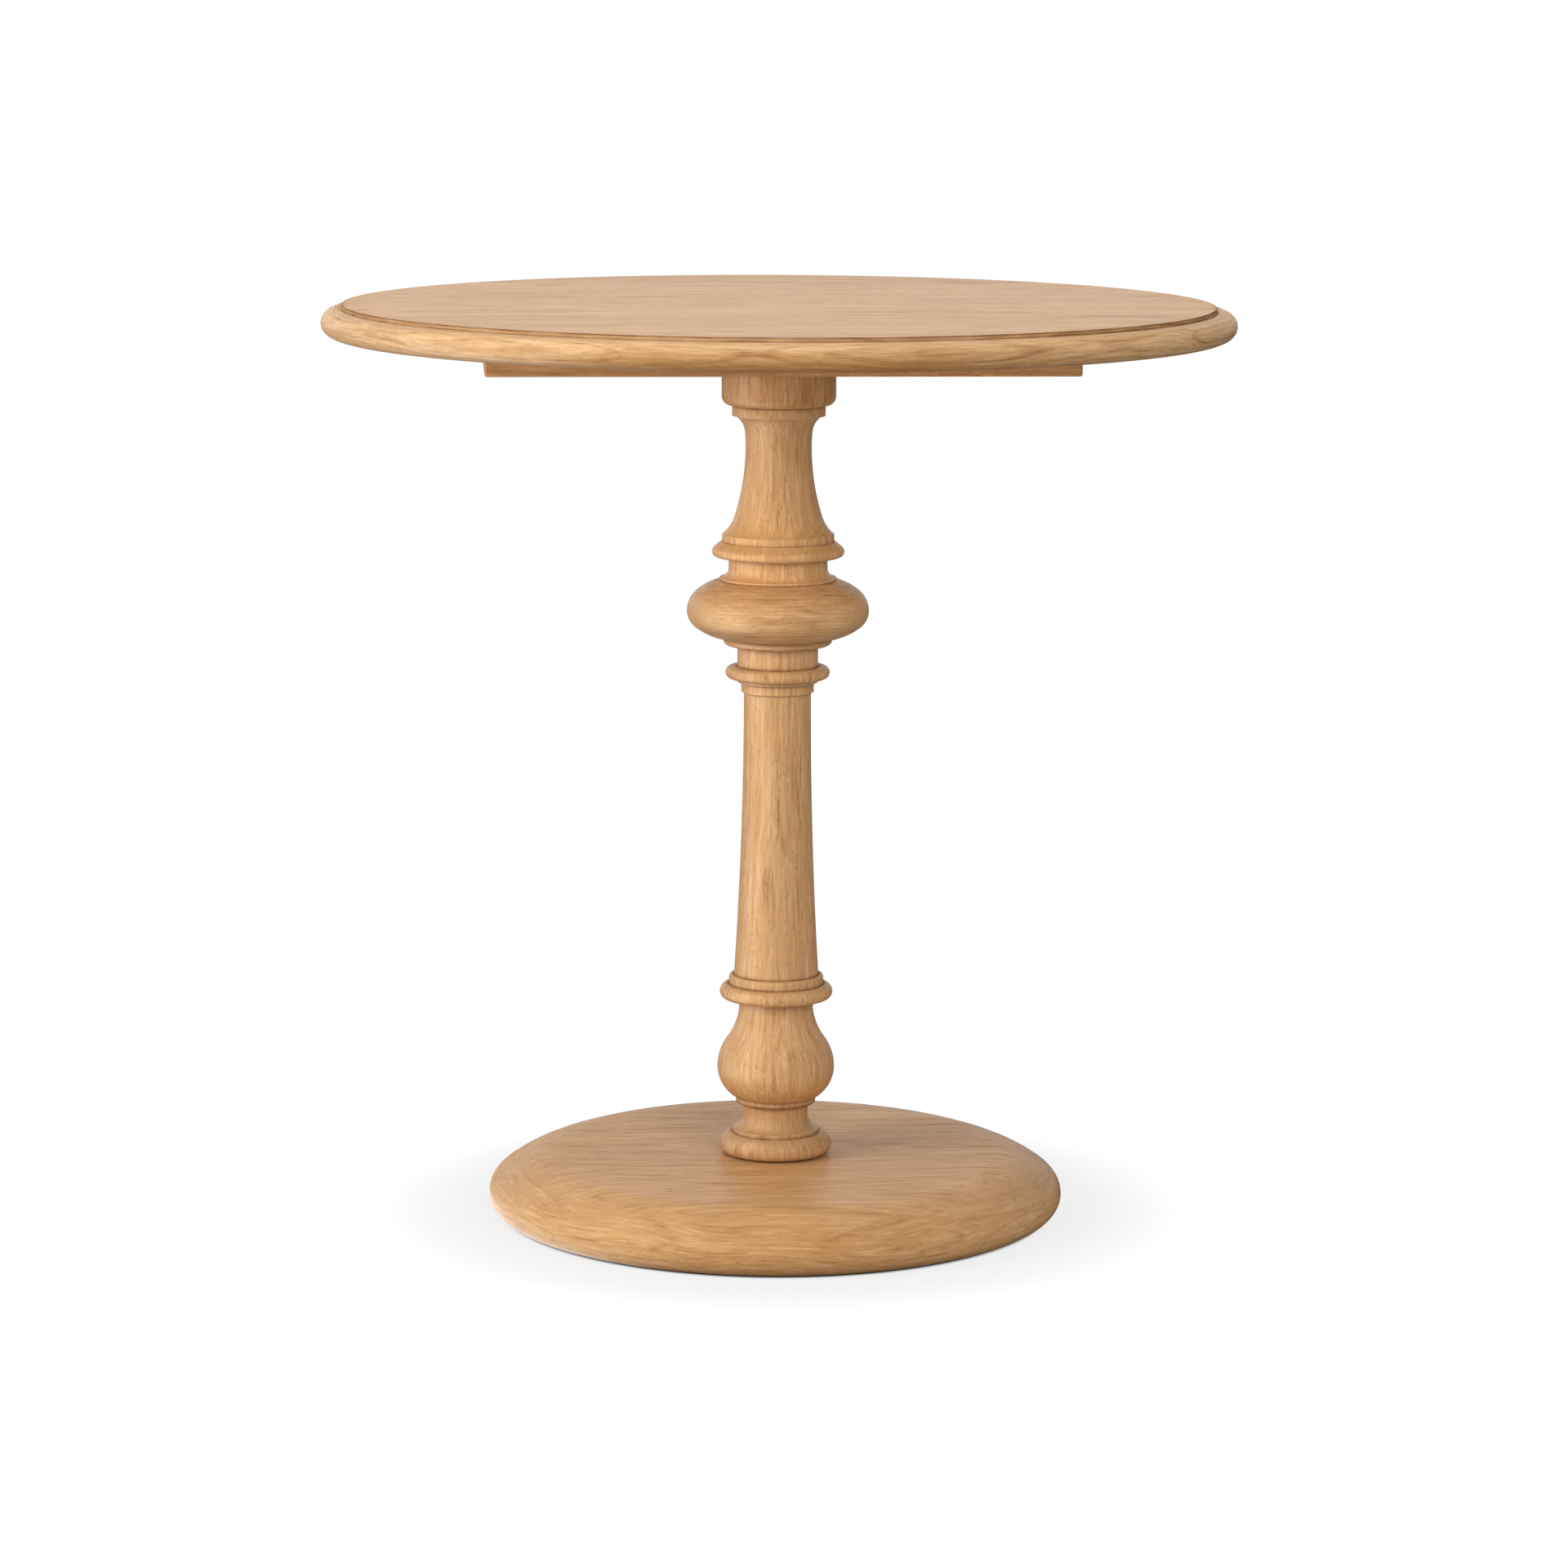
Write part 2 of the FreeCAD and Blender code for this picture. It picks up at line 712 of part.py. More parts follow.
# Bearer, with a well above for the rod's upper nut
bearer = doc.addObject("PartDesign::Body", "bearer_blank")
bearer_sketch = bearer.newObject("Sketcher::SketchObject", "bearer_outline")
bearer_sketch.AttachmentSupport = ([p for p in bearer.Origin.OriginFeatures if p.Role == "XY_Plane"][0], [""])
bearer_sketch.MapMode = "FlatFace"
half_length = value("bearer_length") / 2
half_width = value("bearer_width") / 2
bearer_corners = [
    FreeCAD.Vector(-half_length, -half_width, 0),
    FreeCAD.Vector(half_length, -half_width, 0),
    FreeCAD.Vector(half_length, half_width, 0),
    FreeCAD.Vector(-half_length, half_width, 0),
]
for index in range(4):
    bearer_sketch.addGeometry(Part.LineSegment(bearer_corners[index], bearer_corners[(index + 1) % 4]), False)
bearer_sketch.addConstraint(
    [Sketcher.Constraint("Coincident", index, 2, (index + 1) % 4, 1) for index in range(4)]
    + [Sketcher.Constraint("Horizontal", index) for index in (0, 2)]
    + [Sketcher.Constraint("Vertical", index) for index in (1, 3)]
    + [Sketcher.Constraint("Symmetric", 0, 1, 1, 2, -1, 1)]
)
length_rule = bearer_sketch.addConstraint(Sketcher.Constraint("DistanceX", 0, 1, 0, 2, 2 * half_length))
width_rule = bearer_sketch.addConstraint(Sketcher.Constraint("DistanceY", 1, 1, 1, 2, 2 * half_width))
bearer_sketch.setExpression(f"Constraints[{length_rule}]", cells("bearer_length"))
bearer_sketch.setExpression(f"Constraints[{width_rule}]", cells("bearer_width"))
bearer_pad = bearer.newObject("PartDesign::Pad", "bearer_pad")
bearer_pad.Profile = bearer_sketch
bind(bearer_pad, Length="bearer_thickness")
doc.recompute()
lower_edges = [
    f"Edge{number}"
    for number, edge in enumerate(bearer_pad.Shape.Edges, start=1)
    if edge.BoundBox.ZMin < value("bearer_thickness") / 2
]
bearer_fillet = bearer.newObject("PartDesign::Fillet", "bearer_eased_edges")
bearer_fillet.Base = (bearer_pad, lower_edges)
bind(bearer_fillet, Radius="bearer_ease")
place(bearer, z=BEARER_LOW)
bearer_well_floor = f"({TOP_LOW} - bearer_well_depth)"
bearer_holes.append(
    cylinder(
        "bearer_rod_hole", ROD_HOLE, "bearer_thickness + 2 * overrun", z=f"{BEARER_LOW} - overrun"
    )
)
bearer_holes.append(
    cylinder("bearer_well", "bearer_well_radius", "bearer_well_depth + overrun", z=bearer_well_floor)
)
nodes.append(cut("top_bearer", bearer, bearer_holes + dowel_holes["collar"]))

# Turned column, a stack of sections
column_collar = turned("collar_blank", collar_outline(), z=COLLAR_LOW)
nodes.append(cut("column_collar", column_collar, dowel_holes["collar"]))
nodes.append(turned("column_vase", vase_outline(), z=VASE_LOW))
nodes.append(turned("column_knop", knop_outline(), z=KNOP_LOW))
nodes.append(turned("column_shaft", shaft_outline(), z=SHAFT_LOW))
nodes.append(turned("column_bulb", bulb_outline(), z=BULB_LOW))
column_foot = turned("foot_blank", foot_outline(), z=FOOT_LOW)
nodes.append(cut("column_foot", column_foot, dowel_holes["foot"]))

# Rod, with a nut and a washer at each end
base_well_ceiling = f"({BASE_LOW} + base_well_depth)"
rod_low = f"({base_well_ceiling} - washer_thickness - nut_height - rod_stub)"
rod_high = f"({bearer_well_floor} + washer_thickness + nut_height + rod_stub)"
nodes.append(turned("tie_rod", bar_outline("rod_radius", f"({rod_high} - {rod_low})", "rod_ease"), z=rod_low))
nut_outline = [
    (ROD_THREAD, "0", "line"),
    ("nut_flats / 2", "0", "line"),
    (NUT_CORNER, "nut_chamfer", "line"),
    (NUT_CORNER, "nut_height - nut_chamfer", "line"),
    ("nut_flats / 2", "nut_height", "line"),
    (ROD_THREAD, "nut_height", "line"),
]
for end, washer_low, nut_low in (
    ("upper", bearer_well_floor, f"{bearer_well_floor} + washer_thickness"),
    ("lower", f"{base_well_ceiling} - washer_thickness", f"{base_well_ceiling} - washer_thickness - nut_height"),
):
    washer = sleeve_outline(ROD_THREAD, "washer_radius", "washer_thickness")
    nodes.append(turned(f"{end}_washer", washer, z=washer_low))
    nut_blank = turned(f"{end}_nut_blank", nut_outline, z=nut_low)
    prism = doc.addObject("Part::Prism", f"{end}_nut_prism")
    prism.Polygon = 6
    bind(prism, Circumradius=NUT_CORNER, Height="nut_height")
    place(prism, z=nut_low)
    nut = doc.addObject("Part::Common", f"{end}_nut")
    nut.Label = f"{end}_nut"
    nut.Base = prism
    nut.Tool = nut_blank
    nodes.append(nut)

# Levelling glides: a steel stem with a moulded pad, in a threaded insert
glide_ceiling = f"({BASE_LOW} + glide_recess_depth)"
stem_top = "glide_sole + glide_head_height + glide_stem_length"
stem_outline = [
    ("0", "0", "line"),
    ("glide_head_radius", "0", "line"),
    ("glide_head_radius", "glide_head_height", "line"),
    ("glide_stem_radius", "glide_head_height", "line"),
    ("glide_stem_radius", "glide_head_height + glide_stem_length - glide_stem_ease", "line"),
    ("glide_stem_radius - glide_stem_ease", "glide_head_height + glide_stem_length", "line"),
    ("0", "glide_head_height + glide_stem_length", "line"),
]
pocket_radius = "glide_head_radius + fit_gap"
pad_outline = [
    ("0", "0", "line"),
    ("glide_pad_radius - glide_pad_ease", "0", "to plumb"),
    ("glide_pad_radius", "glide_pad_ease", "line"),
    ("glide_pad_radius", "glide_pad_height - glide_pad_ease", "plumb"),
    ("glide_pad_radius - glide_pad_ease", "glide_pad_height", "line"),
    ("glide_stem_radius + fit_gap", "glide_pad_height", "line"),
    ("glide_stem_radius + fit_gap", "glide_sole + glide_head_height + fit_gap", "line"),
    (pocket_radius, "glide_sole + glide_head_height + fit_gap", "line"),
    (pocket_radius, "glide_sole", "line"),
    ("0", "glide_sole", "line"),
]
inserts = []
glide_holes = []
for index in range(int(value("glide_count"))):
    angle = f"glide_start_angle + {index} * 360 / glide_count"
    x = f"(base_radius - glide_inset) * cos({angle})"
    y = f"(base_radius - glide_inset) * sin({angle})"
    nodes.append(turned(f"glide_stem_{index + 1}", stem_outline, x, y, "glide_sole"))
    nodes.append(turned(f"glide_pad_{index + 1}", pad_outline, x, y))
    insert = sleeve_outline("glide_stem_radius + glide_gap", "insert_radius", "insert_length")
    inserts.append(turned(f"insert_{index + 1}", insert, x, y, glide_ceiling))
    for name, radius, height, low in (
        (
            "recess",
            "glide_pad_radius + glide_recess_room",
            "glide_recess_depth + overrun",
            f"{BASE_LOW} - overrun",
        ),
        ("insert_hole", "insert_radius + fit_gap", "insert_length", glide_ceiling),
        ("stem_hole", "glide_stem_radius + stem_room", f"{stem_top} + end_gap - {glide_ceiling}", glide_ceiling),
    ):
        glide_holes.append(cylinder(f"glide_{name}_{index + 1}", radius, height, x, y, low))
nodes.append(group("glide_inserts", inserts))

# Round base, in boards
base_disc = turned("base_disc", base_outline(), z=BASE_LOW)
base_holes = glide_holes + dowel_holes["foot"]
boards("base_board", base_disc, "base_radius", "base_thickness", BASE_LOW, "base_board_count", base_holes)

doc.recompute()
for item in doc.Objects:
    if "Invalid" in item.State or "Error" in item.State:
        raise RuntimeError(f"{item.Label} did not build: {item.State}")
for node in nodes:
    if node.Shape.isNull() or not node.Shape.isValid() or not node.Shape.Solids:
        raise RuntimeError(f"{node.Label} has no valid solid")

os.makedirs("parts", exist_ok=True)
for node in nodes:
    node.Shape.exportStep(f"parts/{node.Label}.step")
    print(node.Label, len(node.Shape.Solids), round(node.Shape.Volume))
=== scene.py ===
# %% [markdown]
# # A round oak pedestal table
# The real table is solid oak: a round top glued up from boards, a straight bearer under it, a column turned
# on a lathe in six sections, and a heavy round base. This lesson dresses the CAD model of that table. The CAD
# model fixes where every piece is; Blender gives each piece a finer surface, its grain and its light.

# %% Load the CAD model as a fixed frame
import cmath
import math

import bmesh
import bpy
from mathutils import Matrix, Vector


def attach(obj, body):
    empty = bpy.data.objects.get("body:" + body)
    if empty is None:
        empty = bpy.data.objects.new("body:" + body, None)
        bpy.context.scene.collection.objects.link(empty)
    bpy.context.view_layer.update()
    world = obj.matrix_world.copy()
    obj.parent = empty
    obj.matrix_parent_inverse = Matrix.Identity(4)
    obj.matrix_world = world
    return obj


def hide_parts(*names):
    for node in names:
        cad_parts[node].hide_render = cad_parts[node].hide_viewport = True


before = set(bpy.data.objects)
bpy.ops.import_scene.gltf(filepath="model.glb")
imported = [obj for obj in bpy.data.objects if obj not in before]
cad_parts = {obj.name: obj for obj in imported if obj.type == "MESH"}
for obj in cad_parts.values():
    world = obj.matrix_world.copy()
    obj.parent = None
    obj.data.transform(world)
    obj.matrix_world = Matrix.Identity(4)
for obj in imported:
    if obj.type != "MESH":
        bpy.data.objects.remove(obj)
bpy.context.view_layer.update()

MM = 0.001

# %% [markdown]
# ## Outlines for the lathe
# A turner works from a drawn half outline: lines, hollows and rounds, one after the other. The same outline
# serves here. Each corner is (radius, height, way) in millimetres, and the way says how the edge runs to the
# next corner: a straight line, or an arc that leaves or arrives plumb, level or smoothly. Points are complex
# numbers, radius plus height times j, because turning a direction is then one multiplication.

# %% Trace an outline
ARC_STEP = math.radians(6)
ARRIS_SEGMENTS = 4
SHARP_TURN = math.radians(20)
CLOSE_RINGS = (0.5, 1.2, 2.4)
LEAST_STEP = 0.3
# Negative marks paint shade: a dark line in quirks and at seats where sections meet, with a soft fringe.
SEAT_GAP, SEAT_INSIDE, SEAT_SHADE = 1.0, 20.0, 0.9
ARRIS_REACH, QUIRK_REACH, SHADE_SPREAD = 1.2, 1.0, 3.5
LINE_SHARE, SHADE_SHARE = 0.75, 0.25
LONGEST_CUT = 0.4


def arc_centre(near, far, heading):
    """Centre of the arc that leaves `near` along `heading` and passes through `far`."""
    across = 1j * heading
    chord = far - near
    return near + across * abs(chord) ** 2 / (2 * (chord * across.conjugate()).real)


class Edge:
    """One line or arc of an outline."""

    def __init__(self, start, end, centre=None):
        self.start, self.end, self.centre = start, end, centre
        if centre is None:
            self.sweep = 0.0
            self.length = abs(end - start)
            self.leaves = self.arrives = (end - start) / self.length
        else:
            self.sweep = cmath.phase((end - centre) / (start - centre))
            self.length = abs(self.sweep) * abs(start - centre)
            turn = 1j * math.copysign(1, self.sweep)
            self.leaves = turn * (start - centre) / abs(start - centre)
            self.arrives = turn * (end - centre) / abs(end - centre)

    def at(self, share):
        """The point at a share of the way along."""
        if self.centre is None:
            return self.start + (self.end - self.start) * share
        return self.centre + (self.start - self.centre) * cmath.exp(1j * self.sweep * share)


def edges_of(corners):
    """The edges of a closed outline. Arcs that arrive smoothly wait until the next edge is known."""
    points = [complex(radius, height) for radius, height, way in corners]
    count = len(points)
    edges = [None] * count
    for index in sorted(range(count), key=lambda i: corners[i][2] == "to smooth"):
        start, end, way = points[index], points[(index + 1) % count], corners[index][2]
        heading = 1j if "plumb" in way else 1
        if way == "line":
            centre = None
        elif way == "smooth":
            centre = arc_centre(start, end, edges[index - 1].arrives)
        elif way == "to smooth":
            centre = arc_centre(end, start, edges[(index + 1) % count].leaves)
        elif way.startswith("to "):
            centre = arc_centre(end, start, heading)
        else:
            centre = arc_centre(start, end, heading)
        edges[index] = Edge(start, end, centre)
    return edges


def shares_along(edge, first, last, sharp_start, sharp_end, longest):
    """Where to put points along an edge: in even steps, and a few more close to its sharp ends."""
    steps = max(1, math.ceil(abs(edge.sweep) / ARC_STEP), math.ceil(edge.length / longest))
    shares = [first + (last - first) * k / steps for k in range(1, steps)]
    for near in CLOSE_RINGS:
        shares += [first + near / edge.length] * sharp_start + [last - near / edge.length] * sharp_end
    kept = [first]
    for share in sorted(shares):
        if (share - kept[-1]) * edge.length > LEAST_STEP and (last - share) * edge.length > LEAST_STEP:
            kept.append(share)
    return kept + [last] * sharp_end


def wear_and_shade_at(point, marks, reach):
    """How far a point lies on an arris (+, wear) or in a quirk or at a seat (-, painted shade)."""
    value = 0.0
    for corner, depth in marks:
        away = abs(point - corner)
        if depth > 0:
            value += depth * math.exp(-away / ARRIS_REACH)
        else:
            line = LINE_SHARE * math.exp(-away / reach)
            value += depth * (line + SHADE_SHARE * math.exp(-away / (reach * SHADE_SPREAD)))
    return max(-1.0, min(1.0, value))


def trace(corners, arris, longest, quirk):
    """Points along an outline with its corners softened, and the wear on arrises and painted shade in quirks at
    each.
    """
    edges = edges_of(corners)
    turns = [cmath.phase(edge.leaves / edges[index - 1].arrives) for index, edge in enumerate(edges)]
    cuts = []
    for index, turn in enumerate(turns):
        room = LONGEST_CUT * min(edges[index].length, edges[index - 1].length)
        cuts.append(min(arris * math.tan(abs(turn) / 2), room) if abs(turn) > SHARP_TURN else 0.0)
    points = []
    for index, edge in enumerate(edges):
        cut_after = cuts[(index + 1) % len(edges)]
        first = cuts[index] / edge.length
        last = 1 - cut_after / edge.length
        if cuts[index]:
            before = edges[index - 1].at(1 - cuts[index] / edges[index - 1].length)
            after = edge.at(first)
            for k in range(1, ARRIS_SEGMENTS):
                t = k / ARRIS_SEGMENTS
                points.append((1 - t) ** 2 * before + 2 * t * (1 - t) * edge.start + t ** 2 * after)
        for share in shares_along(edge, first, last, bool(cuts[index]), bool(cut_after), longest):
            points.append(edge.at(share))
    highest = max((corner[1] for corner in corners if corner[0] > SEAT_INSIDE), default=0.0)
    marks = []
    for edge, turn in zip(edges, turns):
        if abs(turn) > SHARP_TURN:
            # Quirks, and the seats where a section meets its neighbour, get painted shade.
            from_seat = min(edge.start.imag, highest - edge.start.imag)
            seat = edge.start.real > SEAT_INSIDE and from_seat <= SEAT_GAP
            marks.append((edge.start, -SEAT_SHADE if seat else math.sin(turn / 2)))
    return points, [wear_and_shade_at(point, marks, quirk) for point in points]


print("Outline tracer ready")

# %% [markdown]
# ## Turning a solid
# Blender's Screw modifier can spin an outline, and so can bmesh.ops.spin. Here the rings are written
# directly, because every ring then has the same order of points, and the wear along arrises and the painted
# shade in quirks and at seats can be stored on the mesh as an attribute for the finish to read.

# %% Spin an outline into a mesh
WELD, SLIVER = 1e-7, 1e-8
SHARP_EDGE = math.radians(40)


def lathe(name, corners, low, spokes, arris=0.5, longest=5.0, quirk=QUIRK_REACH):
    """A turned solid as a mesh in metres, standing at height `low` in millimetres."""
    points, wear_and_shade = trace(corners, arris, longest, quirk)
    count = len(points)
    angles = [2 * math.pi * spoke / spokes for spoke in range(spokes)]
    places = [
        (point.real * math.cos(angle) * MM, point.real * math.sin(angle) * MM, (point.imag + low) * MM)
        for angle in angles for point in points
    ]
    faces = []
    for spoke in range(spokes):
        here, there = spoke * count, (spoke + 1) % spokes * count
        for k in range(count):
            after = (k + 1) % count
            faces.append((here + k, there + k, there + after, here + after))
    mesh = bpy.data.meshes.new(name)
    mesh.from_pydata(places, [], faces)
    worn = mesh.attributes.new("wear_and_shade", "FLOAT", "POINT")
    worn.data.foreach_set("value", wear_and_shade * spokes)
    clean(mesh)
    return mesh


def clean(mesh):
    """Welds the points on the axis, turns the faces outward, and shades smoothly but for sharp edges."""
    bm = bmesh.new()
    bm.from_mesh(mesh)
    bmesh.ops.remove_doubles(bm, verts=bm.verts, dist=WELD)
    bmesh.ops.dissolve_degenerate(bm, edges=bm.edges, dist=SLIVER)
    bmesh.ops.recalc_face_normals(bm, faces=bm.faces)
    bm.to_mesh(mesh)
    bm.free()
    mesh.shade_smooth()
    mesh.set_sharp_from_angle(angle=SHARP_EDGE)


def stand(name, mesh, node, material):
    """Puts a mesh in the scene in place of a CAD node of the table."""
    piece = bpy.data.objects.new(name, mesh)
    bpy.context.scene.collection.objects.link(piece)
    mesh.materials.append(material)
    normals = piece.modifiers.new("even_shading", "WEIGHTED_NORMAL")
    normals.keep_sharp = True
    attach(piece, "table")
    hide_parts(node)


print("Lathe ready")

# %% [markdown]
# ## Shader groups
# Several finishes share the same effects, so each effect is a node group with named sockets. A group only
# works out colours, masks and heights; the Principled shader itself stays in each material.

# %% Helpers for nodes
def feed(tree, made, inputs):
    """Links or sets the inputs of a node."""
    for name, value in inputs.items():
        if isinstance(value, bpy.types.NodeSocket):
            tree.links.new(value, made.inputs[name])
        else:
            made.inputs[name].default_value = value


def add(tree, kind, inputs, **settings):
    """Adds a shader node, sets its options and feeds it."""
    made = tree.nodes.new("ShaderNode" + kind)
    for name, setting in settings.items():
        setattr(made, name, setting)
    feed(tree, made, inputs)
    return made


def vector_node(tree, operation, *values):
    return add(tree, "VectorMath", dict(enumerate(values)), operation=operation).outputs


def math_node(tree, operation, *values):
    return add(tree, "Math", dict(enumerate(values)), operation=operation).outputs[0]


def scaled(tree, vector, scale):
    return vector_node(tree, "MULTIPLY", vector, scale)[0]


def noise(tree, vector, detail=2.0, roughness=0.5):
    return add(tree, "TexNoise", {"Vector": vector, "Scale": 1.0, "Detail": detail, "Roughness": roughness})


def between(tree, value, low, high, to_low=0.0, to_high=1.0):
    """Maps low..high smoothly on to to_low..to_high."""
    inputs = {"Value": value, "From Min": low, "From Max": high, "To Min": to_low, "To Max": to_high}
    return add(tree, "MapRange", inputs, interpolation_type="SMOOTHSTEP").outputs[0]


def ranged(tree, value, to_low, to_high):
    """Maps 0..1 evenly on to to_low..to_high."""
    return add(tree, "MapRange", {"Value": value, "To Min": to_low, "To Max": to_high}).outputs[0]


def mix(tree, share, first, second, blend="MIX"):
    return add(tree, "Mix", {0: share, 6: first, 7: second}, data_type="RGBA", blend_type=blend).outputs[2]


def blended(tree, share, first, second):
    return add(tree, "Mix", {0: share, 2: first, 3: second}, data_type="FLOAT").outputs[0]


def new_group(name, inputs, outputs):
    """An empty node group with named sockets, its inner inputs and its inner outputs."""
    tree = bpy.data.node_groups.new(name, "ShaderNodeTree")
    for way, sockets in (("INPUT", inputs), ("OUTPUT", outputs)):
        for socket_name, kind in sockets:
            tree.interface.new_socket(socket_name, in_out=way, socket_type="NodeSocket" + kind)
    return tree, tree.nodes.new("NodeGroupInput").outputs, tree.nodes.new("NodeGroupOutput").inputs


def use_group(tree, group, inputs):
    made = tree.nodes.new("ShaderNodeGroup")
    made.node_tree = group
    feed(tree, made, inputs)
    return made.outputs


print("Node helpers ready")

# %% [markdown]
# ### Oak
# Oak shows streaks along the grain, faint growth rings, fine fibres, dark and pale hair lines and open pores.
# All of it is worked out in the solid, so a sawn or turned surface shows the right figure by itself. Rings
# are shells round the heart of the tree, bent a little by slow noise. Streaks and fibres are noise drawn out
# along the grain, hair lines are the crests and hollows of one more noise, curls are contour lines of
# another, and pores are drawn-out cells. Where the grain runs out of the surface the streaks fade, as they do
# on real end grain. The place comes in wood space, in metres, with Z along the grain.

# %% Oak figure group
CONTOURS = 6.0
FIBRES = (((60, 60, 7), 2.0, 0.45), ((300, 300, 20), 3.0, 1.2), ((800, 800, 45), 2.0, 1.2))
PORE_CELLS = (((1000, 1000, 150), 0.34, 0.5), ((640, 640, 105), 0.33, 0.22))
SHEEN, DRIER, PORE_ROUGHNESS = 0.38, 0.08, 0.2


def tone_of(tree, value, middle, weight):
    """A value's distance from its middle, times a weight."""
    return math_node(tree, "MULTIPLY", math_node(tree, "SUBTRACT", value, middle), weight)


def near_contours(tree, value, offset):
    """1 on the contour lines of a value, CONTOURS of them between 0 and 1."""
    step = math_node(tree, "FRACT", math_node(tree, "MULTIPLY_ADD", value, CONTOURS, offset))
    away = math_node(tree, "ABSOLUTE", math_node(tree, "SUBTRACT", step, 0.5))
    return between(tree, away, 0.16, 0.05)


def build_oak_figure():
    tree, given, gives = new_group(
        "Oak figure",
        [
            ("Place", "Vector"), ("Heart", "Vector"), ("Ring Width", "Float"), ("Ring Contrast", "Float"),
            ("Waviness", "Float"), ("Spread", "Vector"), ("Streak Contrast", "Float"), ("Curl Depth", "Float"),
            ("Pore Depth", "Float"), ("End Grain", "Float"),
            ("Pale", "Color"), ("Honey", "Color"), ("Brown", "Color"), ("Pore", "Color"),
        ],
        [("Color", "Color"), ("Roughness", "Float"), ("Height", "Float")],
    )
    place = given["Place"]
    slow = noise(tree, scaled(tree, place, (9, 9, 5)), 2.0).outputs["Color"]
    swing = vector_node(tree, "ADD", slow, (-0.5, -0.5, -0.5))[0]
    bend = add(tree, "VectorMath", {0: swing, "Scale": given["Waviness"]}, operation="SCALE").outputs[0]
    moved = vector_node(tree, "ADD", place, bend)[0]
    from_heart = vector_node(tree, "SUBTRACT", moved, given["Heart"])[0]
    flat = scaled(tree, from_heart, (1, 1, 0))
    distance = vector_node(tree, "LENGTH", flat)["Value"]
    ring = math_node(tree, "FRACT", math_node(tree, "DIVIDE", distance, given["Ring Width"]))
    late = between(tree, ring, 0.0, 0.35)
    rings = math_node(tree, "MULTIPLY", late, between(tree, ring, 0.82, 1.0, 1.0, 0.0))
    wood = vector_node(tree, "MULTIPLY", moved, given["Spread"])[0]
    drawn = None
    for size, detail, weight in FIBRES:
        fibre = noise(tree, scaled(tree, wood, size), detail, 0.6).outputs["Fac"]
        part = tone_of(tree, fibre, 0.5, weight)
        drawn = part if drawn is None else math_node(tree, "ADD", drawn, part)
    fading = between(tree, given["End Grain"], 0.05, 0.9, 1.0, 0.3)
    drawn = math_node(tree, "MULTIPLY", drawn, math_node(tree, "MULTIPLY", given["Streak Contrast"], fading))
    tone = math_node(tree, "MULTIPLY_ADD", tone_of(tree, rings, 0.6, 1.0), given["Ring Contrast"], drawn)
    hair = noise(tree, scaled(tree, wood, (520, 520, 24)), 2.0, 0.55).outputs["Fac"]
    pale_line = math_node(tree, "MULTIPLY", between(tree, hair, 0.40, 0.33, 0.0, 0.5), fading)
    dark_line = math_node(tree, "MULTIPLY", between(tree, hair, 0.61, 0.68, 0.0, 0.32), fading)
    contour = noise(tree, scaled(tree, wood, (110, 110, 34)), 1.0).outputs["Fac"]
    here = between(tree, noise(tree, scaled(tree, place, (36, 36, 20)), 1.0).outputs["Fac"], 0.50, 0.62)
    here = math_node(tree, "MULTIPLY", here, given["Curl Depth"])
    fainter = math_node(tree, "MULTIPLY", here, 0.45)
    dark_curl = math_node(tree, "MULTIPLY", near_contours(tree, contour, 0.0), fainter)
    pale_curl = math_node(tree, "MULTIPLY", near_contours(tree, contour, 0.35), here)
    pale_marks = math_node(tree, "MAXIMUM", pale_line, pale_curl)
    paler = math_node(tree, "MAXIMUM", between(tree, tone, 0.0, 0.5), pale_marks)
    darker = math_node(tree, "MAXIMUM", between(tree, tone, 0.0, -0.7), dark_line)
    colour = mix(tree, paler, given["Honey"], given["Pale"])
    colour = mix(tree, math_node(tree, "MAXIMUM", darker, dark_curl), colour, given["Brown"])
    clouds = noise(tree, scaled(tree, place, (34, 34, 15)), 1.0).outputs["Fac"]
    patch = between(tree, clouds, 0.42, 0.66, 0.25, 1.0)
    early = math_node(tree, "MULTIPLY", between(tree, ring, 0.55, 0.05, 0.3, 1.0), patch)
    pores = None
    for cells, reach, density in PORE_CELLS:
        cell = add(tree, "TexVoronoi", {"Vector": scaled(tree, moved, cells), "Scale": 1.0, "Randomness": 1.0})
        spot = between(tree, cell.outputs["Distance"], reach, reach * 0.45)
        lot = add(tree, "SeparateColor", {0: cell.outputs["Color"]}).outputs[0]
        chosen = math_node(tree, "LESS_THAN", lot, math_node(tree, "MULTIPLY", early, density))
        found = math_node(tree, "MULTIPLY", spot, chosen)
        pores = found if pores is None else math_node(tree, "MAXIMUM", pores, found)
    depth = math_node(tree, "MULTIPLY", pores, given["Pore Depth"])
    tree.links.new(mix(tree, depth, colour, given["Pore"]), gives["Color"])
    dry = math_node(tree, "MULTIPLY_ADD", darker, DRIER, SHEEN)
    tree.links.new(math_node(tree, "MULTIPLY_ADD", pores, PORE_ROUGHNESS, dry), gives["Roughness"])
    grainy = math_node(tree, "MULTIPLY", tone, 0.3)
    tree.links.new(math_node(tree, "SUBTRACT", grainy, pores), gives["Height"])
    return tree


oak_figure = build_oak_figure()
print("Oak figure nodes:", len(oak_figure.nodes))

# %% [markdown]
# ### Grain round a turned piece
# A turner picks straight blanks, and on the finished column the streaks follow the outline down over every
# bulge. Plain solid wood would show ovals there instead. This group draws each place towards one radius round
# the axis, so most of the figure follows the turning and a little of the solid figure is left.

